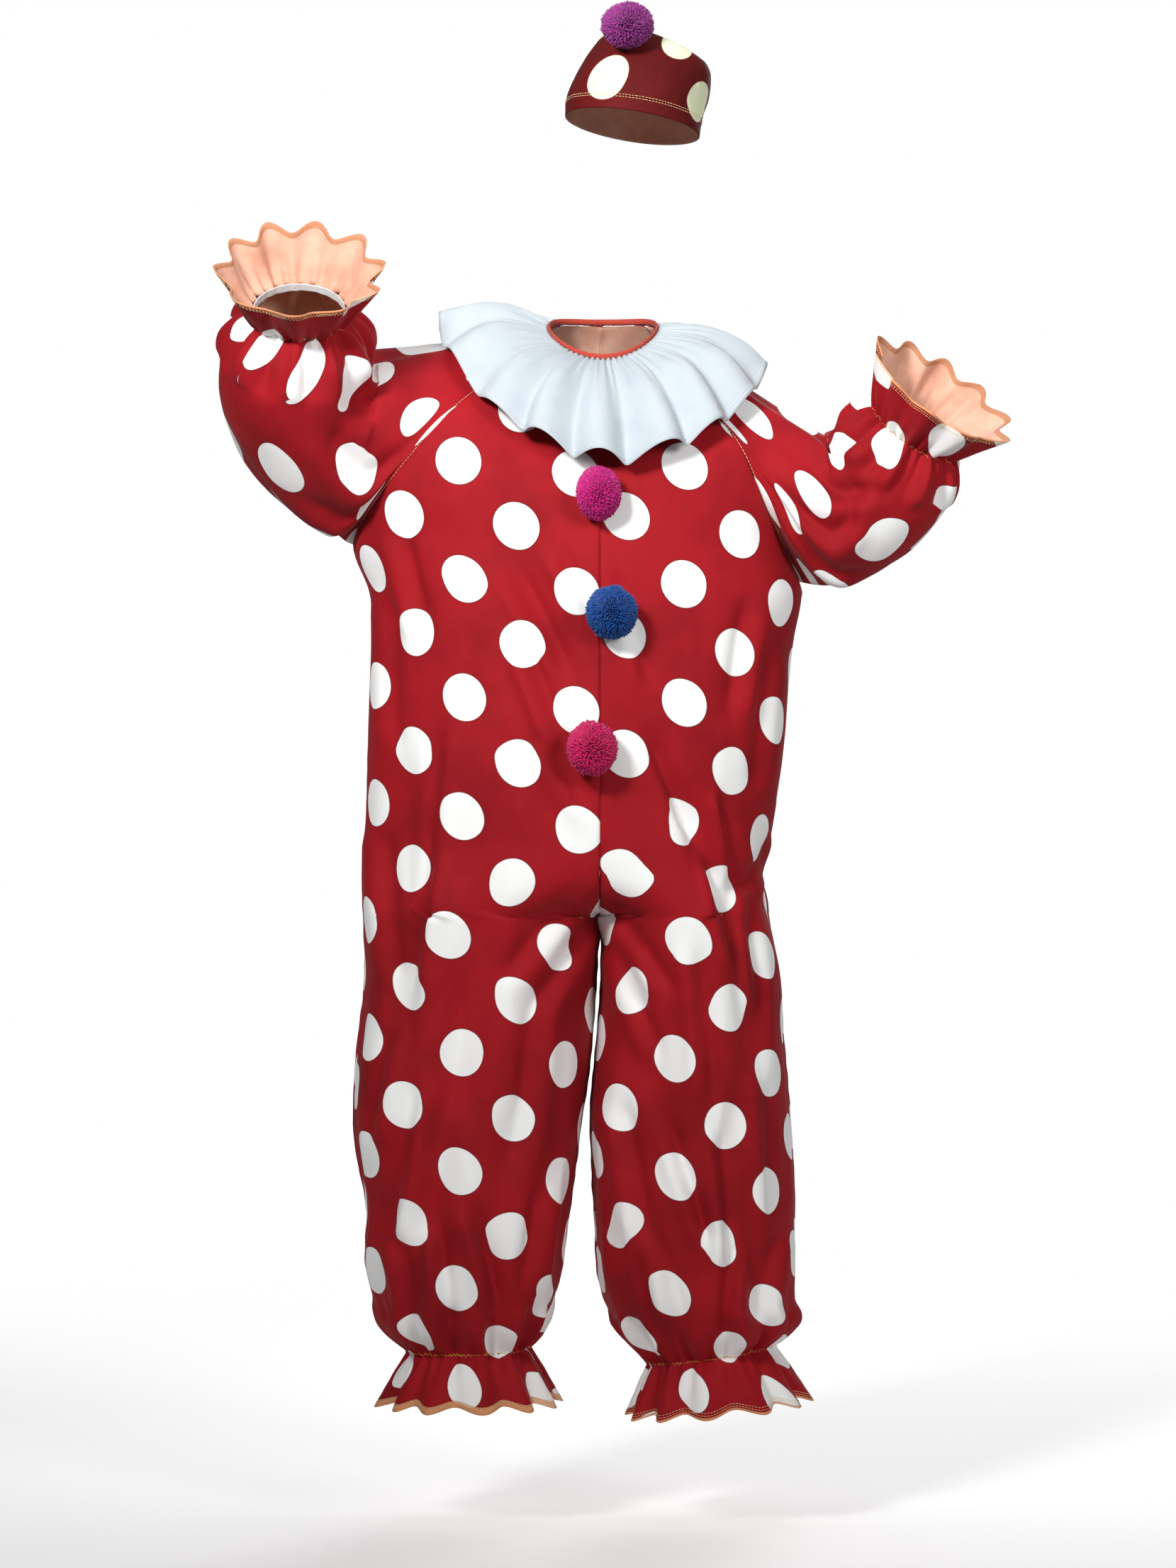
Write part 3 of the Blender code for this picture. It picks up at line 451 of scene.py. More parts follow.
# Metres, from the same zero as the solids.
UNDERARM_Z = -0.26
CROTCH_Z = -0.705
SEAM_X = -0.004
NECK_HALF_WIDTH = 0.068
NECK_HALF_DEPTH = 0.060
NECK_BACK_Z = 0.042
NECK_DIP = 0.054
NECK_DIP_POWER = 2.2
FULLNESS = 0.85
CROTCH_CLEARANCE = 0.0011
NECK_BLEND = 0.05
FOLD_MARGIN = Onset(0.0, 0.12)
FRONT_PANEL_TURN = 52.0
BACK_PANEL_TURN = 128.0
NUDGE = 0.01
WRINKLE_STRENGTH = 2.1
CREASE_STRENGTH = 1.6
WRINKLE_MARGIN = Onset(0.0, 0.07)
NECK_MARGIN = Onset(0.0, 0.08)
RAGLAN_MARGIN = Onset(1.0, -0.10)
ARMHOLE_MARGIN = Onset(0.0, 0.35)
LEG_FOLDS = Onset(0.55, 0.35)
THIGH_INSIDE = Onset(0.40, -0.30)
THIGH_TOP = Onset(0.72, 0.05)
THIGH_END = Onset(1.04, -0.14)
DENT_MARGIN = Onset(0.0, 0.25)
PANEL_DRAPE = Vector((13, 9, 4.2))
HANGING_FOLDS = Vector((21, 16, 2.1))
HANGING_SHARPNESS = 2.6
SLEEVE_DRAPE = Vector((9, 9, 9))
SWELL_DRAPE = Vector((28, 28, 28))
SWAY_DRAPE = Vector((15, 15, 15))


def through(keys: Sequence[float], values: Sequence[float], at: float) -> float:
    """A smooth curve through the points (key, value), read at one place.

    Args:
        keys: rising places of the points.
        values: the value at each place.
        at: where the curve is read.

    Returns:
        The curve's value there.
    """
    last = len(keys) - 1
    i = min(max(bisect.bisect_right(keys, at) - 1, 0), last - 1)

    def slope(k: int) -> float:
        """The curve's slope at one of its points."""
        before, after = max(k - 1, 0), min(k + 1, last)
        return (values[after] - values[before]) / (keys[after] - keys[before])

    width = keys[i + 1] - keys[i]
    t = (at - keys[i]) / width
    rise, start, end = values[i + 1] - values[i], slope(i) * width, slope(i + 1) * width
    bend = 3 * rise - 2 * start - end
    return values[i] + t * (start + t * (bend + t * (start + end - 2 * rise)))


def read(table: Sequence[NamedTuple], key: str, at: float) -> NamedTuple:
    """A row of the table's own kind, with each column read at one place of the key column.

    Args:
        table: rows in rising order of the key column.
        key: the name of that column.
        at: where the columns are read.

    Returns:
        A new row of the table's kind.
    """
    keys = [getattr(row, key) for row in table]
    return type(table[0])(*(through(keys, column, at) for column in zip(*table)))


def eased(value: float) -> float:
    """A smooth step from 0 to 1."""
    value = min(max(value, 0), 1)
    return value * value * (3 - 2 * value)


def outward(point: Vector, centre: Vector) -> Vector:
    """The level direction from a section's centre to a point of its cloth."""
    way = point - centre
    way.z = 0
    return way.normalized()


class Wire:
    """A shader socket on which Python's own operators add nodes."""

    def __init__(self, shader: "Shader", socket: bpy.types.NodeSocket) -> None:
        """Holds the socket and the shader that it belongs to."""
        self.shader = shader
        self.socket = socket

    def _math(self, operation: str, first: "Value", second: "Value" = 0.0) -> "Wire":
        """Adds one Math node that works on two values."""
        return self.shader.node("ShaderNodeMath", {"operation": operation}, {0: first, 1: second})

    def __add__(self, other: "Value") -> "Wire":
        """The sum of two values."""
        return self._math("ADD", self, other)

    def __sub__(self, other: "Value") -> "Wire":
        """The difference of two values."""
        return self._math("SUBTRACT", self, other)

    def __mul__(self, other: "Value") -> "Wire":
        """The product of two values."""
        return self._math("MULTIPLY", self, other)

    def __truediv__(self, other: "Value") -> "Wire":
        """The quotient of two values."""
        return self._math("DIVIDE", self, other)

    def __abs__(self) -> "Wire":
        """The value without its sign."""
        return self._math("ABSOLUTE", self)

    __radd__ = __add__
    __rmul__ = __mul__

    def rounded(self) -> "Wire":
        """The nearest whole number."""
        return self._math("ROUND", self)

    def modulo(self, other: float) -> "Wire":
        """What is left over after division, never below zero."""
        return self._math("FLOORED_MODULO", self, other)

    def power(self, other: float) -> "Wire":
        """The value raised to a power."""
        return self._math("POWER", self, other)

    def sine(self) -> "Wire":
        """The sine of the value in radians."""
        return self._math("SINE", self)

    def step(self, start: float, end: float) -> "Wire":
        """A smooth step from 0 at the start to 1 at the end."""
        settings = {"interpolation_type": "SMOOTHSTEP"}
        return self.shader.node("ShaderNodeMapRange", settings, {0: self, 1: start, 2: end})


Value = Union[Wire, float, Colour, tuple[float, float, float]]


class Shader:
    """A material whose nodes are added by Python expressions."""

    def __init__(self, name: str) -> None:
        """Makes the material with its Principled shader alone."""
        self.material = bpy.data.materials.new(name)
        self.material.use_nodes = True
        self.tree = self.material.node_tree
        self.surface = self.tree.nodes["Principled BSDF"]

    def node(self, kind: str, settings: dict, inputs: dict, output: Union[int, str] = 0) -> Wire:
        """Adds one node.

        Args:
            kind: the node's type.
            settings: its properties, set before its sockets.
            inputs: a value or wire for each socket, by index or name.
            output: the socket that is handed back.

        Returns:
            A wire from that socket.
        """
        made = self.tree.nodes.new(kind)
        for name, value in settings.items():
            setattr(made, name, value)
        for key, value in inputs.items():
            self.put(made.inputs[key], value)
        return Wire(self, made.outputs[output])

    def put(self, socket: bpy.types.NodeSocket, value: Value) -> None:
        """Links a wire to a socket, or sets the socket's own value."""
        if isinstance(value, Wire):
            self.tree.links.new(value.socket, socket)
        else:
            socket.default_value = value

    def blend(self, share: Value, first: Value, second: Value) -> Wire:
        """A colour between two, by a share from 0 to 1."""
        inputs = {0: share, 6: first, 7: second}
        return self.node("ShaderNodeMix", {"data_type": "RGBA"}, inputs, 2)

    def noise(self, place: Wire, scale: float, detail: float = 2.0, rough: float = 0.5) -> Wire:
        """A soft random value from 0 to 1."""
        inputs = {"Vector": place, "Scale": scale, "Detail": detail, "Roughness": rough}
        return self.node("ShaderNodeTexNoise", {}, inputs)

    def slubs(self, cut: Wire, stretch: tuple[float, float, float]) -> Wire:
        """The uneven thickness of the threads, drawn out along them, from 0 to 1."""
        drawn = self.node("ShaderNodeMapping", {}, {"Vector": cut, "Scale": stretch})
        return self.noise(drawn, 1.0, 2.0, 0.6)

    def place(self) -> Wire:
        """The object's own coordinates."""
        return self.node("ShaderNodeTexCoord", {}, {}, "Object")

    def flat(self) -> tuple[Wire, Wire, Wire]:
        """The cut cloth's own coordinates in metres: the pair, then each of the two."""
        pair = self.node("ShaderNodeUVMap", {"uv_map": "cloth"}, {})
        apart = self.tree.nodes.new("ShaderNodeSeparateXYZ")
        self.put(apart.inputs[0], pair)
        return pair, Wire(self, apart.outputs[0]), Wire(self, apart.outputs[1])

    def value(self, name: str) -> Wire:
        """A number kept on the mesh under that name."""
        return self.node("ShaderNodeAttribute", {"attribute_name": name}, {}, "Fac")

    def bump(self, height: Wire, strength: float, distance: float) -> None:
        """Raises the surface's look by a height."""
        inputs = {"Height": height, "Strength": strength, "Distance": distance}
        self.put(self.surface.inputs["Normal"], self.node("ShaderNodeBump", {}, inputs))

    def finish(self, colour: Value, roughness: Value, **sockets: float) -> bpy.types.Material:
        """Sets the surface's colour, roughness and any constant sockets.

        Args:
            colour: the base colour.
            roughness: the roughness.
            sockets: constants by socket name, with _ for a space.

        Returns:
            The finished material.
        """
        self.put(self.surface.inputs["Base Color"], colour)
        self.put(self.surface.inputs["Roughness"], roughness)
        for name, value in sockets.items():
            self.surface.inputs[name.replace("_", " ")].default_value = value
        return self.material


HEM_EDGE = 0.0004


def weave(across: Wire, down: Wire, pitch: float) -> Wire:
    """The height of a plain weave, from -1 to 1.

    Args:
        across: metres across the cloth.
        down: metres down the cloth.
        pitch: the distance between two threads.

    Returns:
        A wire with the height.
    """
    turn = 2 * math.pi / pitch
    return (across * turn).sine() * 0.5 + (down * turn).sine() * 0.5


@dataclass(frozen=True)
class DottedCloth:
    """Red cotton printed with rows of round white dots, seen from its right side."""

    name: str
    red: Colour
    deep_red: Colour
    dot: Colour
    hem: Colour = (0.78, 0.36, 0.17, 1.0)
    thread_shade: Colour = (0.19, 0.004, 0.008, 1.0)
    outline: Colour = (0.16, 0.010, 0.012, 1.0)
    pitch_across: float = 0.0735
    pitch_down: float = 0.1457
    radius: float = 0.0290
    edge: float = 0.0006
    thread: float = 0.0011
    hem_width: float = 0.0028
    slub_stretch: tuple[float, float, float] = (260.0, 2400.0, 1.0)

    def dots(self, across: Wire, down: Wire) -> tuple[Wire, Wire]:
        """The mask of the dots, and that of the thin line round them.

        Args:
            across: metres across the cloth from a column of dots.
            down: metres down the cloth from a dot of it.

        Returns:
            Two wires from 0 to 1.
        """
        column = (across / self.pitch_across).rounded()
        aside = across - column * self.pitch_across
        shifted = down + column.modulo(2.0) * (self.pitch_down / 2)
        along = shifted - (shifted / self.pitch_down).rounded() * self.pitch_down
        distance = (aside * aside + along * along).power(0.5)
        inside = distance.step(self.radius + self.edge, self.radius - self.edge)
        ring = abs(distance - (self.radius + self.edge)).step(self.edge * 2.2, self.edge * 0.6)
        return inside, ring

    def build(self) -> bpy.types.Material:
        """Makes the material."""
        shader = Shader(self.name)
        pair, across, down = shader.flat()
        place = shader.place()
        inside, ring = self.dots(across, down)
        cloudy = shader.noise(place, 9.0, 3.0, 0.6)
        slub = shader.slubs(pair, self.slub_stretch)
        red = shader.blend(cloudy.step(0.35, 0.72), self.red, self.deep_red)
        red = shader.blend(slub.step(0.42, 0.75) * 0.6, red, self.thread_shade)
        red = shader.blend(ring * 0.75, red, self.outline)
        colour = shader.blend(inside, red, self.dot)
        hem = shader.value("hem").step(self.hem_width + HEM_EDGE, self.hem_width - HEM_EDGE)
        colour = shader.blend(hem * 0.85, colour, self.hem)
        height = weave(across, down, self.thread) * 0.5 + slub
        shader.bump(height, 0.22, 0.0006)
        rough = 0.62 + cloudy * 0.16 + inside * 0.05
        return shader.finish(colour, rough, Sheen_Weight=0.03, Sheen_Roughness=0.4,
                             Specular_IOR_Level=0.12)


@dataclass(frozen=True)
class ReverseCloth:
    """The unprinted side of the dotted cotton, where the red shows through as peach."""

    name: str
    ground: Colour = (0.80, 0.47, 0.34, 1.0)
    shade: Colour = (0.64, 0.31, 0.21, 1.0)
    hem: Colour = (0.46, 0.17, 0.06, 1.0)
    hem_width: float = 0.0070
    thread: float = 0.0012

    def build(self) -> bpy.types.Material:
        """Makes the material."""
        shader = Shader(self.name)
        _, across, down = shader.flat()
        cloudy = shader.noise(shader.place(), 24.0, 3.0, 0.6)
        threads = weave(across, down, self.thread)
        colour = shader.blend(cloudy.step(0.3, 0.75), self.ground, self.shade)
        turned = shader.value("hem").step(self.hem_width + HEM_EDGE, self.hem_width - HEM_EDGE)
        colour = shader.blend(turned * 0.75, colour, self.hem)
        shader.bump(threads + cloudy + turned, 0.25, 0.0006)
        return shader.finish(colour, 0.85, Sheen_Weight=0.1)


@dataclass(frozen=True)
class PlainWeave:
    """A plain woven cloth in one colour, with slubs and a faint weave."""

    name: str
    colour: Colour
    shade: Colour
    thread: float = 0.0012
    relief: float = 0.35
    roughness: float = 0.82
    slub_stretch: tuple[float, float, float] = (220.0, 1500.0, 1.0)

    def build(self) -> bpy.types.Material:
        """Makes the material."""
        shader = Shader(self.name)
        pair, across, down = shader.flat()
        cloudy = shader.noise(shader.place(), 30.0, 4.0, 0.6)
        slub = shader.slubs(pair, self.slub_stretch)
        threads = weave(across, down, self.thread)
        share = cloudy.step(0.35, 0.8) * 0.5 + slub.step(0.4, 0.85) * 0.5
        colour = shader.blend(share, self.colour, self.shade)
        shader.bump(threads * 0.6 + slub, self.relief, 0.0006)
        return shader.finish(colour, self.roughness + slub * 0.1, Sheen_Weight=0.08)


@dataclass(frozen=True)
class RibbedElastic:
    """White braided elastic with fine ribs along its length, painted darker in the troughs of its
    ribs and braid as painted shade.
    """

    name: str
    colour: Colour = (0.82, 0.84, 0.84, 1.0)
    shade: Colour = (0.55, 0.58, 0.60, 1.0)
    rib: float = 0.0011
    braid: float = 0.0022

    def build(self) -> bpy.types.Material:
        """Makes the material."""
        shader = Shader(self.name)
        _, across, down = shader.flat()
        ribs = (down * (2 * math.pi / self.rib)).sine() * 0.5 + 0.5
        braid = (across * (2 * math.pi / self.braid)).sine() * 0.5 + 0.5
        # Painted shade: the colour darkens towards the shade colour in the troughs of the ribs
        # and the braid, where the bump is lowest.
        colour = shader.blend(ribs * 0.6 + braid * 0.3, self.shade, self.colour)
        shader.bump(ribs + braid * 0.5, 0.5, 0.0006)
        return shader.finish(colour, 0.75 + ribs * 0.1)


@dataclass(frozen=True)
class Yarn:
    """Fluffy cut yarn, each lock a little different, darkened towards its roots by painted shade.
    """

    name: str
    colour: Colour
    root_shade: Colour

    def build(self) -> bpy.types.Material:
        """Makes the material."""
        shader = Shader(self.name)
        place = shader.place()
        tone = shader.value("tone")
        tip = shader.value("tip")
        fibre = shader.noise(place, 900.0, 2.0, 0.7)
        # Painted shade: the colour falls from the yarn's own colour at the tips to the darker
        # root colour at the roots and over the heart.
        share = (tip * 0.75 + tone * 0.35 + fibre * 0.15 - 0.10).step(0.0, 1.0)
        colour = shader.blend(share, self.root_shade, self.colour)
        shader.bump(fibre, 0.4, 0.0008)
        return shader.finish(colour, 0.88 + fibre * 0.1, Sheen_Weight=0.25, Sheen_Roughness=0.5,
                             Specular_IOR_Level=0.2)


@dataclass(frozen=True)
class Thread:
    """Twisted sewing thread."""

    name: str
    colour: Colour
    shade: Colour

    def build(self) -> bpy.types.Material:
        """Makes the material."""
        shader = Shader(self.name)
        twist = shader.noise(shader.place(), 1400.0, 1.0, 0.5)
        colour = shader.blend(twist, self.shade, self.colour)
        shader.bump(twist, 0.3, 0.0002)
        return shader.finish(colour, 0.6 + twist * 0.1)


@dataclass(frozen=True)
class PaleFloor:
    """A plain pale studio floor."""

    name: str
    colour: Colour = (0.93, 0.93, 0.93, 1.0)
    shade: Colour = (0.88, 0.88, 0.88, 1.0)
    solid_radius: float = 1.1
    faded_radius: float = 3.2
    glow: float = 0.38

    def build(self) -> bpy.types.Material:
        """Makes the material, which thins out to nothing far from the object.

        It glows a little, but to the camera alone, so that it throws no more light on the cloth.
        """
        shader = Shader(self.name)
        seen = shader.node("ShaderNodeLightPath", {}, {}, "Is Camera Ray")
        shader.put(shader.surface.inputs["Emission Color"], self.colour)
        shader.put(shader.surface.inputs["Emission Strength"], seen * self.glow)
        place = shader.place()
        cloudy = shader.noise(place, 0.8, 2.0, 0.5)
        colour = shader.blend(cloudy, self.colour, self.shade)
        distance = shader.node("ShaderNodeVectorMath", {"operation": "DISTANCE"},
                               {0: place, 1: (0.0, 0.0, -1.47)}, "Value")
        shader.put(shader.surface.inputs["Alpha"],
                   distance.step(self.faded_radius, self.solid_radius))
        return shader.finish(colour, 0.9, Specular_IOR_Level=0.1)


@dataclass
class Sheet:
    """A sheet of cloth: rows of points, and the place of each on the cut cloth in metres.

    A closed sheet has one more place than points in each row, for its seam.
    """

    name: str
    rows: Rows
    flat: list[list[tuple[float, float]]]
    closed: bool = False
    flip: bool = False
    hem: Optional[list[float]] = None

    def normal(self, row: int, column: int) -> Vector:
        """The direction that the cloth faces at one of its points."""
        count = len(self.rows[0])
        before, after = column - 1, column + 1
        if self.closed:
            before, after = before % count, after % count
        else:
            before, after = max(before, 0), min(after, count - 1)
        along = self.rows[row][after] - self.rows[row][before]
        upper, lower = max(row - 1, 0), min(row + 1, len(self.rows) - 1)
        down = self.rows[lower][column] - self.rows[upper][column]
        facing = down.cross(along).normalized()
        return -facing if self.flip else facing

    def relief(self, height: Callable[[int, int], float]) -> None:
        """Raises each point square to the cloth by a height in metres."""
        raised = []
        for i, row in enumerate(self.rows):
            lifted = []
            for j, point in enumerate(row):
                rise = height(i, j)
                lifted.append(point + self.normal(i, j) * rise if rise else point)
            raised.append(lifted)
        self.rows = raised

    def at(self, row: float, column: float) -> tuple[Vector, Vector]:
        """A point between those of the grid, and the direction that the cloth faces there.

        Args:
            row: the place down the rows, whole or between two.
            column: the place across the columns.

        Returns:
            The point and the direction.
        """
        count = len(self.rows[0])
        i = min(int(row), len(self.rows) - 2)
        j = int(math.floor(column))
        if self.closed:
            j, column, after = j % count, column % count, (j + 1) % count
        else:
            j = min(max(j, 0), count - 2)
            after = j + 1
        share, part = row - i, column - j
        upper = self.rows[i][j].lerp(self.rows[i][after], part)
        lower = self.rows[i + 1][j].lerp(self.rows[i + 1][after], part)
        facing = self.normal(i, j).lerp(self.normal(i + 1, after), (share + part) / 2)
        return upper.lerp(lower, share), facing.normalized()

    def line(self, row: float) -> list[tuple[Vector, Vector]]:
        """A line right across the cloth at one row, or right round it where it is closed."""
        return [self.at(row, j) for j in range(len(self.flat[0]))]

    def cut(self) -> tuple[tuple[float, float], float]:
        """The cut's width and length in metres, and its area in square metres."""
        places = [place for row in self.flat for place in row]
        across = [place[0] for place in places]
        down = [place[1] for place in places]
        area = 0.0
        for upper, lower in zip(self.flat, self.flat[1:]):
            for j in range(len(upper) - 1):
                a, b, c, d = upper[j], lower[j], lower[j + 1], upper[j + 1]
                area += abs((c[0] - a[0]) * (d[1] - b[1]) - (d[0] - b[0]) * (c[1] - a[1])) / 2
        return (max(across) - min(across), max(down) - min(down)), area

    def build(self, wall: float, outer: bpy.types.Material,
              inner: Optional[bpy.types.Material] = None) -> bpy.types.Object:
        """Makes the sheet's mesh and gives it its wall.

        Args:
            wall: the cloth's thickness.
            outer: the finish of the side that faces out.
            inner: the finish of its reverse, if that differs.

        Returns:
            The sheet's object.
        """
        count = len(self.rows[0])
        faces, corners = [], []
        for i in range(len(self.rows) - 1):
            for j in range(count if self.closed else count - 1):
                k = (j + 1) % count
                face = (i * count + j, (i + 1) * count + j, (i + 1) * count + k, i * count + k)
                place = (self.flat[i][j], self.flat[i + 1][j],
                         self.flat[i + 1][j + 1], self.flat[i][j + 1])
                faces.append(face[::-1] if self.flip else face)
                corners.extend(place[::-1] if self.flip else place)
        mesh = bpy.data.meshes.new(self.name + "_cloth")
        mesh.from_pydata([point for row in self.rows for point in row], [], faces)
        layer = mesh.uv_layers.new(name="cloth")
        layer.data.foreach_set("uv", [number for place in corners for number in place])
        if self.hem:
            values = [distance for distance in self.hem for _ in range(count)]
            mesh.attributes.new("hem", "FLOAT", "POINT").data.foreach_set("value", values)
        mesh.shade_smooth()
        mesh.materials.append(outer)
        sheet = put_in_scene(self.name + "_cloth", mesh)
        solidify = sheet.modifiers.new("wall", "SOLIDIFY")
        solidify.thickness = wall
        solidify.offset = 0
        if inner:
            mesh.materials.append(inner)
            solidify.material_offset = 1
        return sheet


def put_in_scene(name: str, data: bpy.types.ID) -> bpy.types.Object:
    """Makes an object from its data and puts it in the scene."""
    made = bpy.data.objects.new(name, data)
    bpy.context.scene.collection.objects.link(made)
    return made


def dress(piece: bpy.types.Object, solid: str, slot: str) -> None:
    """Puts a piece on the costume in the place of its solid, and hides the solid."""
    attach(piece, "root")
    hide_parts(solid)


def spaced(line: Sequence[tuple[Vector, Vector]], pitch: float) -> list[tuple[Vector, Vector]]:
    """Points at even distances along a line that lies on cloth.

    Args:
        line: the line's points, each with the direction that the cloth faces.
        pitch: the distance between two of the new points.

    Returns:
        The new points with their directions.
    """
    found, owed = [line[0]], pitch
    for (start, facing), (end, turned) in zip(line, line[1:]):
        length, passed = (end - start).length, 0.0
        while length - passed >= owed > 0:
            passed += owed
            share = passed / length
            found.append((start.lerp(end, share), facing.lerp(turned, share).normalized()))
            owed = pitch
        owed -= length - passed
    return found


@dataclass
class Stitching:
    """Rows of machine stitches, each a short plump bar of thread that lies on the cloth."""

    name: str
    finish: Thread
    lift: float = 0.0008
    radius: float = 0.00042
    covered: float = 0.80
    shapes: list[tuple[Vector, Vector, Vector]] = field(default_factory=list)

    def straight(self, line: Sequence[tuple[Vector, Vector]], pitch: float = 0.0042) -> None:
        """Adds a straight row of stitches with small gaps between them."""
        points = spaced(line, pitch)
        for (start, facing), (end, _) in zip(points, points[1:]):
            self.shapes.append((start, start.lerp(end, self.covered), facing))

    def zigzag(self, line: Sequence[tuple[Vector, Vector]], width: float = 0.0045,
               pitch: float = 0.0030) -> None:
        """Adds a zigzag row of stitches, as wide as given."""
        points = spaced(line, pitch)
        corners = []
        for index, (point, facing) in enumerate(points[:-1]):
            run = (points[index + 1][0] - point).normalized()
            side = facing.cross(run).normalized() * (width / 2 * (-1) ** index)
            corners.append((point + side, facing))
        for (start, facing), (end, _) in zip(corners, corners[1:]):
            self.shapes.append((start, end, facing))

    def build(self, slot: str) -> bpy.types.Object:
        """Makes all the stitches as one mesh."""
        points, faces = [], []
        for start, end, facing in self.shapes:
            run = end - start
            aside = facing.cross(run).normalized() * self.radius
            rise = facing * self.radius
            base = len(points)
            for share in (0.18, 0.82):
                middle = start.lerp(end, share) + facing * self.lift
                points += [middle + aside, middle + rise, middle - aside, middle - rise]
            tip = facing * (self.lift - self.radius)
            points += [start + tip, end + tip]
            for k in range(4):
                n = (k + 1) % 4
                faces.append((base + k, base + n, base + 4 + n, base + 4 + k))
                faces.append((base + n, base + k, base + 8))
                faces.append((base + 4 + k, base + 4 + n, base + 9))
        mesh = bpy.data.meshes.new(self.name)
        mesh.from_pydata(points, [], [face[::-1] for face in faces])
        mesh.shade_smooth()
        mesh.materials.append(self.finish.build())
        stitches = put_in_scene(self.name, mesh)
        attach(stitches, "root")
        return stitches


def neckline(turn: float) -> Vector:
    """A point of the neckline, by its turn in degrees from centre front."""
    angle = math.radians(turn)
    dip = NECK_DIP * ((1 + math.cos(angle)) / 2) ** NECK_DIP_POWER
    return Vector((NECK_HALF_WIDTH * math.sin(angle), -NECK_HALF_DEPTH * math.cos(angle),
                   NECK_BACK_Z - dip))


def panel_rows(face: Face, side: Side) -> tuple[Row, ...]:
    """The rows of one panel, from neckline to elastic, with their distance down the cloth.

    Args:
        face: the front or the back.
        side: the wearer's right or left.

    Returns:
        The rows, in rising order of that distance.
    """
    bodice = BODICE[face, side]
    rows = [Row(index / (len(bodice) - 1) * -UNDERARM_Z, SEAM_X, seam.mid_z, 0, seam.mid_y,
                seam.side_x, seam.side_y, seam.side_z, 0, seam.arc)
            for index, seam in enumerate(bodice)]
    rows += [Row(-girth.level, SEAM_X, girth.level, 0, getattr(girth, face.value),
                 getattr(girth, side.value + "_x"), 0, getattr(girth, side.value + "_z"),
                 girth.crown, 90) for girth in TORSO]
    rows += [Row(-leg.inseam_z, leg.inseam_x, leg.inseam_z, 0, getattr(leg, face.value),
                 leg.outseam_x, 0, leg.outseam_z, 1, 90) for leg in LEGS[side]]
    return tuple(rows)


PANELS = {panel: panel_rows(*panel) for panel in BODICE}


@lru_cache(maxsize=None)
def panel_row(face: Face, side: Side, down: float) -> Row:
    """A panel's row at one distance down its cloth."""
    return read(PANELS[face, side], "down", down)


def body_base(face: Face, side: Side, u: float, down: float) -> Vector:
    """The plain form of a panel.

    Args:
        face: the front or the back.
        side: the wearer's right or left.
        u: the share of the way from the centre seam or inseam to the side.
        down: the distance down the cloth from the neckline.

    Returns:
        The point.
    """
    row = panel_row(face, side, down)
    crown = min(max(row.crown, 0), 1)
    start = math.acos(crown / (2 - crown))
    end = math.pi / 2 + math.radians(min(row.arc, 90))
    angle = start + (end - start) * u
    across = (math.cos(start) - math.cos(angle)) / (math.cos(start) - math.cos(end))
    bulge, edge_bulge = (max(math.sin(a), 0) ** FULLNESS for a in (angle, end))
    if angle > math.pi / 2:
        share = (bulge - edge_bulge) / (1 - edge_bulge)
        y = row.side_y + (row.crest_y - row.side_y) * share
    else:
        y = row.inner_y + (row.crest_y - row.inner_y) * bulge
    mid_x = row.mid_x + side.hand * CROTCH_CLEARANCE * eased(crown * 2)
    point = Vector((mid_x + (row.side_x - mid_x) * across, y,
                    row.mid_z + (row.side_z - row.mid_z) * eased(u)))
    if down < NECK_BLEND:
        turn = FRONT_PANEL_TURN * u if face is Face.FRONT else 180 - (180 - BACK_PANEL_TURN) * u
        point = neckline(turn * side.hand).lerp(point, eased(down / NECK_BLEND))
    return point


def section_centre(side: Side, down: float) -> Vector:
    """The middle of a body or leg section, from which its cloth faces out."""
    row = panel_row(Face.FRONT, side, down)
    crown = min(max(row.crown, 0), 1)
    return Vector((row.mid_x + (row.side_x - row.mid_x) * crown / 2, 0,
                   (row.mid_z + row.side_z) / 2))


def fold_reach(fold: Fold, x: float, z: float) -> tuple[float, float]:
    """How far a place lies to one side of a fold in its widths, and the fold's fading there."""
    run_x, run_z = fold.x1 - fold.x0, fold.z1 - fold.z0
    length = math.hypot(run_x, run_z)
    along = ((x - fold.x0) * run_x + (z - fold.z0) * run_z) / length
    across = ((x - fold.x0) * run_z - (z - fold.z0) * run_x) / length
    past = max(-along, along - length, 0)
    return across / fold.width, math.exp(-(past / (2 * fold.width)) ** 2)


def trough(fold: Fold, x: float, z: float) -> float:
    """How far a soft fold sinks the cloth at one place, seen from the front."""
    across, fading = fold_reach(fold, x, z)
    return fold.depth * fading * math.exp(-across ** 2)


def pinch(fold: Fold, x: float, z: float) -> float:
    """The height of a finer wrinkle: a trough with a ridge thrown up beside it."""
    across, fading = fold_reach(fold, x, z)
    if abs(across) > 5 or fading < 0.01:
        return 0.0
    lean = 1.5 if fold.x1 > fold.x0 else -1.5
    ridge = 0.85 * math.exp(-((across - lean) / 1.1) ** 2)
    return WRINKLE_STRENGTH * fold.depth * fading * (ridge - math.exp(-across ** 2))


def drape(point: Vector, squeeze: Vector, seed: float) -> float:
    """Uneven soft relief from -1 to 1 that runs on from one piece of cloth to the next."""
    place = Vector((point.x * squeeze.x, point.y * squeeze.y, point.z * squeeze.z + seed))
    broad = noise.noise(place)
    ridged = 1 - 2 * abs(noise.noise(place * 1.9 + Vector((3.1, 7.7, 1.3))))
    return broad * 0.75 + ridged * 0.25


def uneven(u: float) -> float:
    """A share across a panel with its gathers crowded in some places and spread in others."""
    return u + 0.014 * math.sin(2 * math.pi * u) - 0.009 * math.sin(4 * math.pi * u)


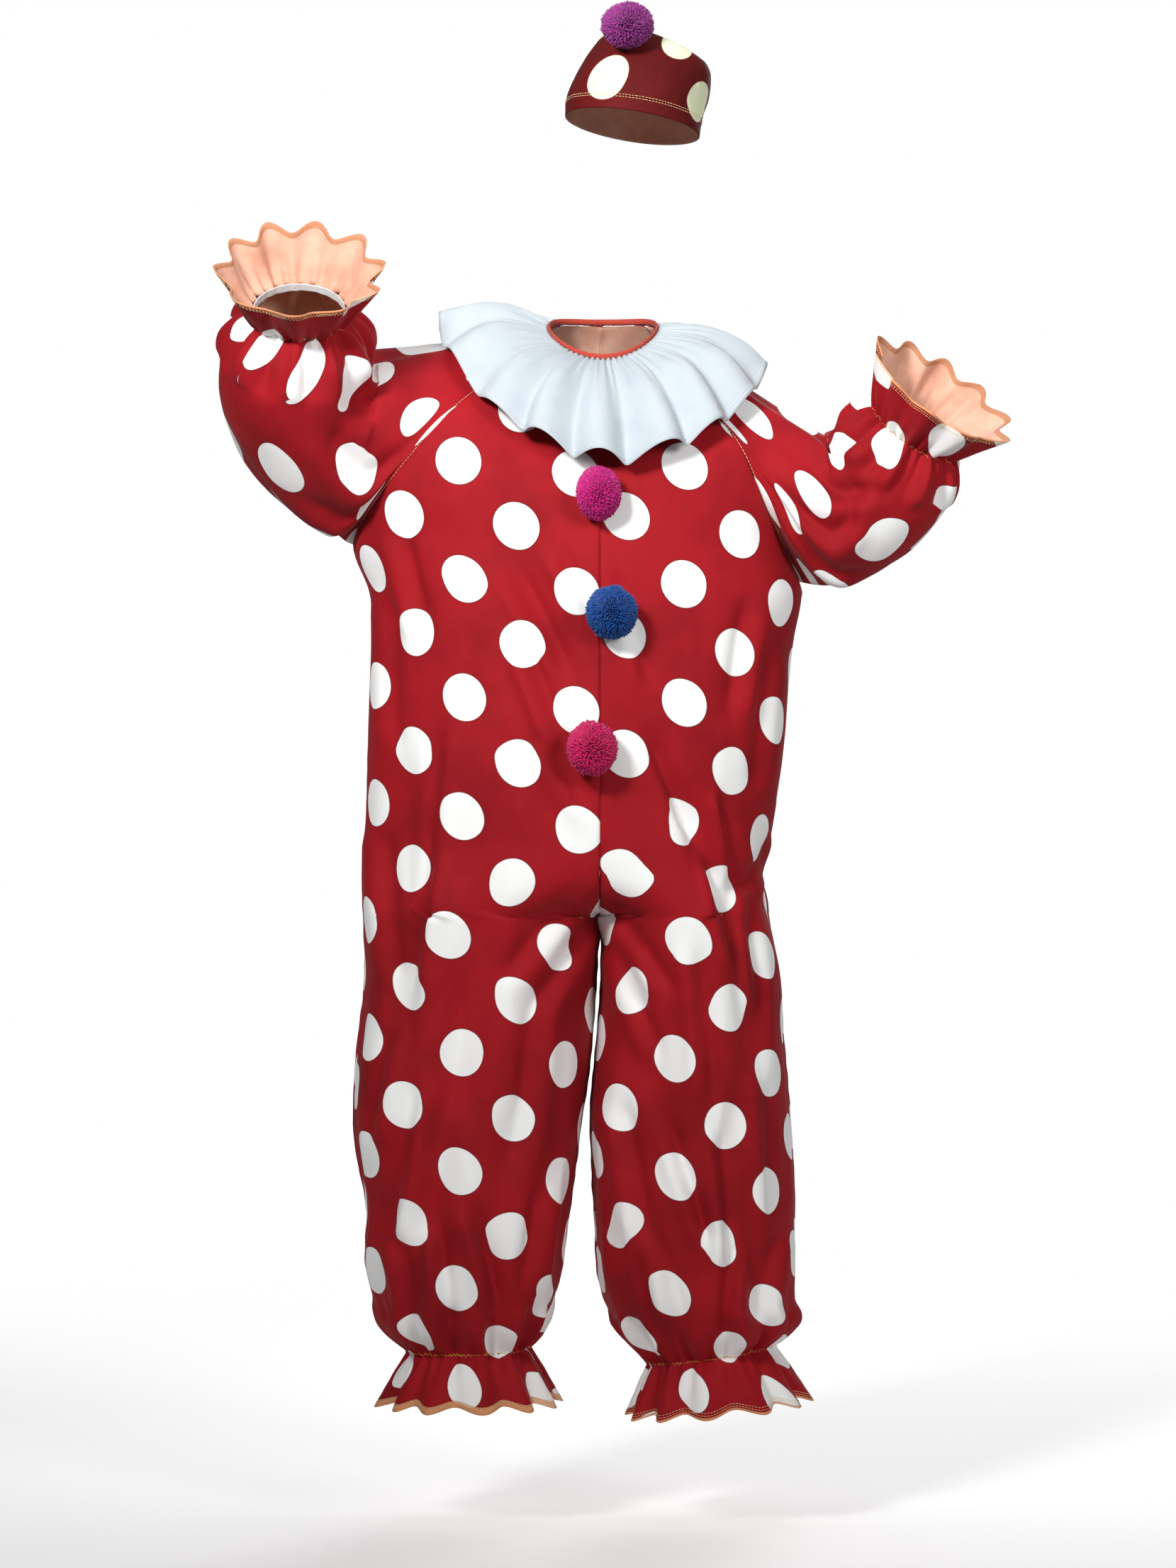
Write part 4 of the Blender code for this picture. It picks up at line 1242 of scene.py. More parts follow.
@dataclass
class Gathers:
    """The gathers above an elastic, and the ruffle below it."""

    height: float = 0.075
    depth: float = 0.0072
    elastic_wave: float = 0.0018
    frill: Frill = Frill(0.066, 0.038, 0.0085)
    lift: float = 0.004
    fine_depth: float = 0.0040
    unevenness: float = 0.55
    sway: float = 0.006

    def wave(self, height: float) -> float:
        """The depth of the gathers at a height above their elastic."""
        share = min(max(height / self.height, 0), 1)
        return self.elastic_wave * (1 - share) + self.depth * math.sin(math.pi * share ** 0.7)

    def fine(self, height: float) -> float:
        """The depth of the small tucks between the gathers, close to the elastic."""
        return self.fine_depth * math.exp(-(height / (self.height * 0.60)) ** 2)

    def ruffle(self, edge: Vector, out: Vector, away: Vector, share: float, wave: float,
               fine: float) -> Vector:
        """A point of the ruffle.

        Args:
            edge: the point of the elastic that it hangs from.
            out: the direction out from the limb.
            away: the direction along the limb.
            share: 0 at the elastic and 1 at the hem.
            wave: the ruffle's wave there, from -1 to 1.
            fine: the wave of the small tucks, from -1 to 1.

        Returns:
            The point.
        """
        swell = 1 + self.unevenness * drape(edge, SWELL_DRAPE, 2.0)
        depth = self.elastic_wave + (self.frill.wave * swell - self.elastic_wave) * share
        tuck = self.fine_depth * (1 - share) ** 1.5 * fine
        sway = self.sway * share * drape(edge, SWAY_DRAPE, 9.0)
        spread = self.frill.spread * share ** 0.8 + sway
        lift = self.lift * wave * share
        along = self.frill.length * share + lift
        return edge + out * (spread + depth * wave + tuck) + away * along

    def from_hem(self, above: int, below: int, band: float = 1.0) -> list[float]:
        """How far each row lies from the hem, in metres, and 1 above the elastic.

        Args:
            above: the rows above the elastic.
            below: the rows of the ruffle.
            band: the share of the distance that is kept, so that less widens the hem's band.

        Returns:
            The distances.
        """
        steps = range(below + 1)
        return [1.0] * above + [self.frill.length * (1 - i / below) * band for i in steps]


@dataclass
class Panel:
    """One front or back of the jumpsuit, from the neckline to its ankle ruffle."""

    face: Face
    side: Side
    columns: int = 104
    bodice_rows: int = 42
    torso_rows: int = 66
    leg_rows: int = 66
    gather_rows: int = 18
    frill_rows: int = 16
    waves: int = 6
    wall: float = 0.0010
    gathers: Gathers = field(default_factory=Gathers)
    band: float = 1.0
    soft: float = 0.0026
    leg_soft: float = 0.0052
    hang: float = 0.0042
    thigh_fullness: float = 0.42

    @property
    def name(self) -> str:
        """The panel's name, which is that of its solid."""
        return f"{self.face.value}_{self.side.value}"

    @property
    def elastic(self) -> float:
        """How far down the cloth the elastic lies."""
        return -LEGS[self.side][-1].inseam_z

    def wave(self, u: float, count: int) -> float:
        """A wave across the panel, which runs on without a kink into the next panel."""
        return self.face.way * math.sin(2 * math.pi * count * uneven(u))

    def point(self, u: float, down: float) -> Vector:
        """A point of the panel with its folds, wrinkles and gathers."""
        base = body_base(self.face, self.side, u, down)
        out = outward(base, section_centre(self.side, down))
        near = min(u, 1 - u)
        window = FOLD_MARGIN.share(near)
        sunk = sum(trough(fold, base.x, base.z) for fold in FOLDS[self.face, self.side]) * window
        fine = sum(pinch(fold, base.x, base.z) for fold in WRINKLES[self.face, self.side])
        fine *= WRINKLE_MARGIN.share(near)
        height = self.elastic - down
        fade = eased((self.gathers.height - height) / self.gathers.height * 3)
        wave = self.gathers.wave(height) * self.wave(u, self.waves) * fade
        tuck = self.gathers.fine(height) * self.wave(u, self.waves * 2 + 1)
        in_leg = LEG_FOLDS.share(down)
        soft = self.soft + self.leg_soft * in_leg
        at_raglan = RAGLAN_MARGIN.share(u) if down < -UNDERARM_Z else 1.0
        inner = THIGH_INSIDE.share(u) * THIGH_TOP.share(down) * THIGH_END.share(down)
        loose = drape(base, PANEL_DRAPE, 0.0) * soft * NECK_MARGIN.share(down) * at_raglan
        loose += self.hanging(base) * self.hang * in_leg
        between = (panel_row(self.face, Side.LEFT, down).mid_x
                   - panel_row(self.face, Side.RIGHT, down).mid_x)
        full = between * self.thigh_fullness * inner
        return base + out * (wave + tuck + fine + loose * (1 - inner) - sunk + full)

    @staticmethod
    def hanging(place: Vector) -> float:
        """The long upright folds of a loose leg, from -1 to 1."""
        steep = noise.noise(place * HANGING_FOLDS + Vector((0, 0, 4)))
        return 1 - HANGING_SHARPNESS * abs(steep)

    def ruffle(self, u: float, share: float) -> Vector:
        """A point of the ruffle below the ankle's elastic."""
        edge = body_base(self.face, self.side, u, self.elastic)
        out = outward(edge, section_centre(self.side, self.elastic))
        last = LEGS[self.side][-1]
        across = Vector((last.outseam_x - last.inseam_x, 0, last.outseam_z - last.inseam_z))
        away = across.cross(Vector((0, 1, 0))).normalized()
        if away.z > 0:
            away = -away
        return self.gathers.ruffle(edge, out, away, share, self.wave(u, self.waves),
                                   self.wave(u, self.waves * 2 + 1))

    def downs(self) -> list[float]:
        """The distances down the cloth of the rows above the elastic."""
        top = self.elastic - self.gathers.height
        found = [-UNDERARM_Z * i / self.bodice_rows for i in range(self.bodice_rows)]
        found += [-UNDERARM_Z + (UNDERARM_Z - CROTCH_Z) * i / self.torso_rows
                  for i in range(self.torso_rows)]
        found += [-CROTCH_Z + (top + CROTCH_Z) * i / self.leg_rows for i in range(self.leg_rows)]
        found += [top + self.gathers.height * i / self.gather_rows
                  for i in range(self.gather_rows + 1)]
        return found

    def sheet(self) -> Sheet:
        """Works out the panel's points and their places on the cut cloth."""
        steps = [i / self.columns for i in range(self.columns + 1)]
        downs = self.downs()
        rows = [[self.point(u, down) for u in steps] for down in downs]
        rows += [[self.ruffle(u, (i + 1) / self.frill_rows) for u in steps]
                 for i in range(self.frill_rows)]
        hem = self.gathers.from_hem(len(downs) - 1, self.frill_rows, self.band)
        return Sheet(self.name, rows, self.places(rows, downs), hem=hem,
                     flip=(self.face is Face.FRONT) == (self.side is Side.RIGHT))

    def places(self, rows: Rows, downs: Sequence[float]) -> list[list[tuple[float, float]]]:
        """The place of every point on the cut cloth, from the centre of a dot."""
        spot = PANEL_PRINTS[self.face, self.side]
        gathered = next(i for i, down in enumerate(downs)
                        if down >= self.elastic - self.gathers.height)
        found, across, heights, at_side, side_x = [], [], [], 0.0, 0.0
        for i, row in enumerate(rows):
            if i <= gathered:
                level = panel_row(self.face, self.side, downs[i])
                arcs = [-spot.across]
                for before, after in zip(row, row[1:]):
                    arcs.append(arcs[-1] + (after - before).length)
                if level.crown <= 0:
                    at_side, side_x = arcs[-1], abs(level.side_x)
                leaning = at_side + abs(level.side_x) - side_x - arcs[-1]
                across = [arc + leaning for arc in arcs]
                heights = [point.z - spot.down for point in row]
            else:
                dropped = sum((a - b).length for a, b in zip(row, rows[i - 1])) / len(row)
                heights = [height - dropped for height in heights]
            found.append([(u, height - spot.lean * u) for u, height in zip(across, heights)])
        return found


def arm_ring(side: Side, along: float) -> Section:
    """A ring round an arm.

    Args:
        side: the wearer's right or left.
        along: the place along the sleeve, from 1 to 3.

    Returns:
        The ring in its place.
    """
    arm = ARMS[side]
    ring = read(arm.rings, "along", along)
    upper, fore = Vector(arm.upper).normalized(), Vector(arm.fore).normalized()
    hinge = upper.cross(fore).normalized()
    turned = Matrix.Rotation(upper.angle(fore) * ring.turn, 3, hinge)
    out, travel = turned @ upper.cross(hinge), turned @ upper
    centre = Vector(arm.elbow) + out * ring.offset + travel * ring.slide
    return Section(centre, out, hinge * side.hand, travel, ring)


@dataclass
class Sleeve:
    """A raglan sleeve, from the neckline to its wrist ruffle, closed under the arm."""

    side: Side
    columns: int = 160
    upper_rows: int = 34
    fan_rows: int = 52
    gather_rows: int = 18
    frill_rows: int = 15
    waves: int = 10
    neck_share: float = 0.15
    gathers_along: float = 2.25
    elastic_along: float = 3.0
    arrival: float = 0.8
    soft: float = 0.0034
    crease_fading: float = 0.22
    wall: float = 0.0010
    gathers: Gathers = field(default_factory=lambda: Gathers(frill=Frill(0.062, 0.036, 0.0085)))

    @property
    def name(self) -> str:
        """The sleeve's name, which is that of its solid."""
        return f"sleeve_{self.side.value}"

    def seam_point(self, a: float) -> Vector:
        """A point of the closed seam: a runs from the shoulder to the front and round."""
        a = (a + 0.5) % 1 - 0.5
        if abs(a) <= self.neck_share:
            middle = (FRONT_PANEL_TURN + BACK_PANEL_TURN) / 2
            reach = middle - FRONT_PANEL_TURN
            return neckline((middle - reach * a / self.neck_share) * self.side.hand)
        share = (abs(a) - self.neck_share) / (0.5 - self.neck_share)
        face = Face.FRONT if a > 0 else Face.BACK
        return body_base(face, self.side, 1, -UNDERARM_Z * share)

    def ring_point(self, a: float, along: float) -> Vector:
        """A point on the plain form beyond the first ring."""
        section = arm_ring(self.side, along)
        angle = 2 * math.pi * (a - ARMS[self.side].twist)
        return (section.centre - section.out * (section.ring.reach * math.cos(angle))
                + section.front * (section.ring.span * math.sin(angle)))

    def base(self, a: float, along: float) -> Vector:
        """The plain form: along is 0 at the raglan seam and 3 at the elastic."""
        if along >= 1:
            return self.ring_point(a, along)
        seam, ring = self.seam_point(a), self.ring_point(a, 1)
        leave = ring - seam
        arrive = (self.ring_point(a, 1 + NUDGE) - ring) / NUDGE
        arrive = arrive.normalized() * min(arrive.length, leave.length) * self.arrival
        t = along
        return (seam * (2 * t ** 3 - 3 * t ** 2 + 1) + leave * (t ** 3 - 2 * t ** 2 + t)
                + ring * (3 * t ** 2 - 2 * t ** 3) + arrive * (t ** 3 - t ** 2))

    def wave(self, a: float, count: int) -> float:
        """A wave round the sleeve, uneven and closed."""
        return math.cos(2 * math.pi * count * uneven(a % 1))

    def creases(self, a: float, along: float) -> float:
        """The height of the sleeve's creases at one place."""
        total = 0.0
        for crease in SLEEVE_CREASES[self.side]:
            run = crease.along1 - crease.along0
            share = (along - crease.along0) / run
            line = crease.turn0 + (crease.turn1 - crease.turn0) * min(max(share, -0.5), 1.5)
            aside = ((a - line + 0.5) % 1 - 0.5) / (crease.width * 2)
            past = max(-share, share - 1, 0) * run
            fading = math.exp(-(past / self.crease_fading) ** 2)
            ridge = 0.7 * math.exp(-((aside - 1.5) / 1.1) ** 2)
            total += CREASE_STRENGTH * crease.depth * fading * (ridge - math.exp(-aside ** 2))
        return total

    def point(self, a: float, along: float) -> Vector:
        """A point of the sleeve with its creases and gathers."""
        base = self.base(a, along)
        section = arm_ring(self.side, max(along, 1.0))
        way = (base - section.centre).normalized()
        margin = ARMHOLE_MARGIN.share(along)
        rise = self.creases(a, along) * margin
        rise += drape(base, SLEEVE_DRAPE, 5.0) * self.soft * margin
        if along >= 2:
            height = ARMS[self.side].rings[-1].slide - section.ring.slide
            fade = eased((along - 2) * 3)
            rise += self.gathers.wave(height) * self.wave(a, self.waves) * fade
            rise += self.gathers.fine(height) * self.wave(a, self.waves * 2 + 3)
        return base + way * rise

    def ruffle(self, a: float, share: float) -> Vector:
        """A point of the ruffle beyond the wrist's elastic."""
        edge = self.base(a, self.elastic_along)
        section = arm_ring(self.side, self.elastic_along)
        way = (edge - section.centre).normalized()
        return self.gathers.ruffle(edge, way, section.travel, share, self.wave(a, self.waves),
                                   self.wave(a, self.waves * 2 + 3))

    def sheet(self) -> Sheet:
        """Works out the sleeve's points and their places on the cut cloth."""
        turns = [0.5 + i / self.columns for i in range(self.columns)]
        alongs = [i / self.upper_rows for i in range(self.upper_rows)]
        alongs += [1 + (self.gathers_along - 1) * i / self.fan_rows for i in range(self.fan_rows)]
        alongs += [self.gathers_along + (self.elastic_along - self.gathers_along)
                   * i / self.gather_rows for i in range(self.gather_rows + 1)]
        rows = [[self.point(a, along) for a in turns] for along in alongs]
        rows += [[self.ruffle(a, (i + 1) / self.frill_rows) for a in turns]
                 for i in range(self.frill_rows)]
        hem = self.gathers.from_hem(len(alongs) - 1, self.frill_rows)
        return Sheet(self.name, rows, self.places(rows), closed=True, hem=hem,
                     flip=self.side is Side.LEFT)

    def places(self, rows: Rows) -> list[list[tuple[float, float]]]:
        """The place of every point on the cut cloth, from the centre of a dot."""
        spot = SLEEVE_PRINTS[self.side]
        count = self.columns
        first_ring = self.upper_rows
        gathered = self.upper_rows + self.fan_rows
        arcs_by_row = []
        for i, row in enumerate(rows):
            if i <= gathered:
                arcs = [0.0]
                for j in range(count):
                    arcs.append(arcs[-1] + (row[(j + 1) % count] - row[j]).length)
                arcs = [arc - arcs[count // 2] for arc in arcs]
            arcs_by_row.append(arcs)
        middle = count * 3 // 4
        lengths = [[0.0] * (count + 1)]
        for upper, lower in zip(rows, rows[1:]):
            drops = [(a - b).length for a, b in zip(upper, lower)]
            drops.append(drops[0])
            lengths.append([before + 0.5 * (drop + drops[middle])
                            for before, drop in zip(lengths[-1], drops)])
        start = lengths[first_ring]
        return [[(arc - spot.across,
                  begun - length - spot.down - spot.lean * (arc - spot.across))
                 for arc, length, begun in zip(arcs, line, start)]
                for arcs, line in zip(arcs_by_row, lengths)]


def swung(swings: Sequence[Swing], angle: float) -> float:
    """The sum of some slow variations at an angle round the collar."""
    return sum(swing.size * math.sin(swing.times * angle + swing.start) for swing in swings)


def around(rows: Rows, sign: float = 1.0) -> list[list[tuple[float, float]]]:
    """Places on the cut cloth of a closed ring of rows, even round it and down it.

    Args:
        rows: the rows of points.
        sign: 1, or -1 where the rows run the other way.

    Returns:
        The places in metres, with one more than points in each row.
    """
    count = len(rows[0])
    widest = max(sum((row[(j + 1) % count] - row[j]).length for j in range(count))
                 for row in rows)
    down, found = 0.0, []
    for i, row in enumerate(rows):
        if i:
            down += sum((a - b).length for a, b in zip(row, rows[i - 1])) / count
        found.append([(sign * widest * (j / count - 0.5), -down) for j in range(count + 1)])
    return found


@dataclass
class Collar:
    """The wide white collar: a flared ring of cloth, drawn in a little on to the neckline."""

    flutes: int = 16
    steps: int = 30
    rows: int = 34
    flute_depth: float = 0.0145
    inset: float = 0.0016
    lift: float = 0.0022
    tuck_depth: float = 0.0021
    tucks_a_flute: int = 4
    tuck_reach: float = 0.34
    creasing: float = 0.28
    wander: float = 0.5
    swing: float = 0.0045
    wall: float = 0.0007
    hem_width: float = 0.006
    hem_lift: float = 0.0004
    width: float = 0.135

    def point(self, turn: float, share: float) -> Vector:
        """A point of the collar, from its sewn edge out to its rim."""
        brim = read(COLLAR_RIM, "turn", turn)
        inner = neckline(turn)
        radial = Vector((inner.x, inner.y, 0)).normalized()
        inner = inner + radial * self.inset + Vector((0, 0, self.lift))
        rim = Vector((brim.x, brim.y, brim.z))
        across = Vector((-radial.y, radial.x, 0))
        raised = across.cross(rim - inner).normalized()
        if raised.z < 0:
            raised = -raised
        angle = math.radians(turn)
        swell = FLUTE_MEAN + swung(FLUTE_SWELL, angle)
        phase = angle * self.flutes + swung(FLUTE_DRIFT, angle)
        place = Vector((math.cos(angle) * 2.6, math.sin(angle) * 2.6, share * 1.4))
        creased = self.creasing * noise.noise(place * 2.2)
        wave = math.cos(phase + self.wander * noise.noise(place)) + creased
        depth = self.flute_depth * swell * share ** 0.9
        tucks = math.cos(angle * self.flutes * self.tucks_a_flute + 0.9 * math.sin(4 * angle))
        tucks = self.tuck_depth * tucks * math.exp(-(share / self.tuck_reach) ** 2)
        swing = math.sin(phase) * self.swing * share ** 1.5 * swell
        arch = brim.arch * math.sin(math.pi * share)
        return inner.lerp(rim, share) + raised * (arch + depth * wave + tucks) + across * swing

    def build(self, cloth: bpy.types.Material, thread: Thread) -> list[bpy.types.Object]:
        """Makes the collar with its narrow stitched hem."""
        count = self.flutes * self.steps
        turns = [360 * i / count - 180 for i in range(count)]
        rows = [[self.point(turn, row / self.rows) for turn in turns]
                for row in range(self.rows + 1)]
        sheet = Sheet("collar", rows, around(rows), closed=True)
        hem_row = self.rows * (1 - self.hem_width / self.width)
        sheet.relief(lambda i, j: self.hem_lift if i > hem_row else 0.0)
        ring = sheet.build(self.wall, cloth)
        dress(ring, "collar", "white_collar_cloth")
        stitching = Stitching("collar_hem_stitching", thread, lift=0.0007, radius=0.00032)
        stitching.straight(sheet.line(hem_row))
        line = stitching.build("white_collar_cloth")
        flat, area = self.cut(rows)
        LOG.info("%s: cut %.3f by %.3f m, %.3f square metres", ring.name, *flat, area)
        return [ring, line]

    def cut(self, rows: Rows) -> tuple[tuple[float, float], float]:
        """Works out the flared ring that has the collar's own edges and width.

        Args:
            rows: the collar's points, from its sewn edge out to its rim.

        Returns:
            The width and length of the cloth it is cut from in metres, and its own area in
            square metres.
        """
        inner, outer = (sum((b - a).length for a, b in zip(row, row[1:] + row[:1]))
                        for row in (rows[0], rows[-1]))
        widths = [sum((row[j] - before[j]).length for before, row in zip(rows, rows[1:]))
                  for j in range(len(rows[0]))]
        width = sum(widths) / len(widths)
        sweep = (outer - inner) / width
        across = 2 * (inner / sweep + width)
        return (across, across), (inner + outer) / 2 * width


def declare(piece: bpy.types.Object, sheet: Sheet, extras: Sequence[bpy.types.Object]) -> None:
    """Says what size of cloth a piece was cut from, and reports it.

    Args:
        piece: the sheet's object.
        sheet: its points and places.
        extras: the stitches on it; not used.
    """
    flat, area = sheet.cut()
    area = min(area, flat[0] * flat[1])
    list(extras)
    LOG.info("%s: cut %.3f by %.3f m, %.3f square metres", piece.name, *flat, area)


@dataclass
class Binding:
    """The narrow folded binding that stands round the neckline."""

    height: float = 0.0070
    width: float = 0.0024
    lift: float = 0.0012
    wall: float = 0.0006
    pucker: float = 0.00022
    puckers: int = 46
    stitched_row: float = 0.55
    stitch_pitch: float = 0.0032
    steps: int = 240
    rows: int = 10

    def build(self, cloth: bpy.types.Material, thread: Thread) -> list[bpy.types.Object]:
        """Makes the binding as one folded strip, with a row of stitches along it."""
        turns = [360 * i / self.steps for i in range(self.steps)]
        rows = []
        for k in range(self.rows + 1):
            angle = math.pi * (k / self.rows)
            out = math.cos(angle) * self.width / 2
            up = self.lift + 0.55 * self.height + 0.45 * self.height * math.sin(angle)
            if k in (0, self.rows):
                up = self.lift
            row = []
            for turn in turns:
                base = neckline(turn)
                radial = Vector((base.x, base.y, 0)).normalized()
                pucker = self.pucker * math.sin(math.radians(turn) * self.puckers)
                row.append(base + radial * (out + pucker) + Vector((0, 0, up)))
            rows.append(row)
        sheet = Sheet("neck_binding", rows, around(rows), closed=True)
        strip = sheet.build(self.wall, cloth)
        dress(strip, "neck_binding", "red_binding")
        stitching = Stitching("binding_stitching", thread, lift=0.0004, radius=0.00028)
        stitching.straight(sheet.line(self.stitched_row), self.stitch_pitch)
        line = stitching.build("red_binding")
        declare(strip, sheet, [line])
        return [strip, line]


@dataclass
class WristElastic:
    """The white elastic stitched inside a wrist."""

    side: Side
    width: float = 0.0102
    wall: float = 0.0011
    inset: float = 0.0038
    scallop: float = 0.0004
    steps: int = 120
    rows: int = 8

    def build(self, sleeve: Sleeve, cloth: bpy.types.Material) -> bpy.types.Object:
        """Makes the ring of elastic, slightly scalloped where the gathers pull on it."""
        section = arm_ring(self.side, sleeve.elastic_along)
        rows = []
        for k in range(self.rows + 1):
            edge = (k / self.rows - 0.5) * self.width
            row = []
            for i in range(self.steps):
                a = i / self.steps
                point = sleeve.ring_point(a, sleeve.elastic_along)
                scallop = self.scallop * sleeve.wave(a, sleeve.waves * 2)
                inward = (section.centre - point).normalized() * (self.inset + scallop)
                drift = edge * (1 + 0.04 * math.sin(a * 40))
                row.append(point + inward + section.travel * drift)
            rows.append(row)
        name = f"wrist_elastic_{self.side.value}"
        sheet = Sheet(name, rows, around(rows), closed=True, flip=self.side is Side.LEFT)
        band = sheet.build(self.wall, cloth)
        dress(band, name, "white_elastic")
        declare(band, sheet, [])
        return band


@dataclass
class Jumpsuit:
    """The four panels and the two sleeves, with their seams, hems and stitching."""

    hem_rows: tuple[float, float] = (0.0050, 0.0080)
    raglan_inset: float = 0.0045
    groove_width: float = 0.0030
    groove_depth: float = 0.0009
    groove_reach: float = 0.02
    pucker_depth: float = 0.0005
    pucker_width: float = 0.009
    row_pitch: float = 0.0045
    groove_rows: int = 6
    raglan_pitch: float = 0.0050
    zigzag_radius: float = 0.00048

    def seam_relief(self, sheet: Sheet) -> Callable[[int, int], float]:
        """The height of the cloth near a panel's two seams: a groove with small puckers.

        Args:
            sheet: the panel's sheet.

        Returns:
            A function of the row and the column.
        """
        count = len(sheet.rows[0])
        spans = [sum((b - a).length for a, b in zip(row, row[1:])) / (count - 1)
                 for row in sheet.rows]

        def height(i: int, j: int) -> float:
            """The height at one point of the grid."""
            distance = min(j, count - 1 - j) * spans[i]
            if distance > self.groove_reach:
                return 0.0
            groove = -self.groove_depth * math.exp(-(distance / self.groove_width) ** 2)
            rhythm = math.sin(i * 1.31 + 0.8 * math.sin(i * 0.37))
            fading = math.exp(-(distance / self.pucker_width) ** 2)
            return groove + self.pucker_depth * rhythm * fading

        return height

    def panel(self, panel: Panel, cloth: bpy.types.Material, inner: bpy.types.Material,
              thread: Thread, zigzag: Thread) -> list[bpy.types.Object]:
        """Makes one panel and its stitching."""
        sheet = panel.sheet()
        sheet.relief(self.seam_relief(sheet))
        return self.trimmed(panel, sheet, cloth, inner, Stitching(
            f"{panel.name}_stitching", thread), zigzag)

    def sleeve(self, sleeve: Sleeve, cloth: bpy.types.Material, inner: bpy.types.Material,
               thread: Thread, zigzag: Thread) -> list[bpy.types.Object]:
        """Makes one sleeve and its stitching."""
        sheet = sleeve.sheet()
        sheet.relief(lambda i, j: -self.groove_depth * math.exp(
            -(i * self.row_pitch / self.groove_width) ** 2) if i < self.groove_rows else 0.0)
        stitching = Stitching(f"{sleeve.name}_stitching", thread)
        stitching.straight(sheet.line(self.raglan_inset / self.row_pitch), self.raglan_pitch)
        return self.trimmed(sleeve, sheet, cloth, inner, stitching, zigzag)

    def trimmed(self, part: Union[Panel, Sleeve], sheet: Sheet, cloth: bpy.types.Material,
                inner: bpy.types.Material, stitching: Stitching,
                zigzag: Thread) -> list[bpy.types.Object]:
        """Builds a panel or sleeve with its hem stitches and the zigzag over its elastic.

        Args:
            part: the panel or the sleeve.
            sheet: its points and places.
            cloth: the finish of its right side.
            inner: the finish of its reverse.
            stitching: the stitches that it already has, which the hem's join.
            zigzag: the thread over the elastic.

        Returns:
            The cloth, its stitches and its zigzag.
        """
        made = sheet.build(part.wall, cloth, inner)
        dress(made, part.name, "dotted_red_cloth")
        last = len(sheet.rows) - 1
        per_row = part.gathers.frill.length / part.frill_rows
        for distance in self.hem_rows:
            stitching.straight(sheet.line(last - distance / per_row))
        line = stitching.build("dotted_red_cloth")
        shirring = Stitching(f"{part.name}_elastic_zigzag", zigzag, radius=self.zigzag_radius)
        shirring.zigzag(sheet.line(last - part.frill_rows))
        tacked = shirring.build("dotted_red_cloth")
        declare(made, sheet, [line, tacked])
        return [made, line, tacked]


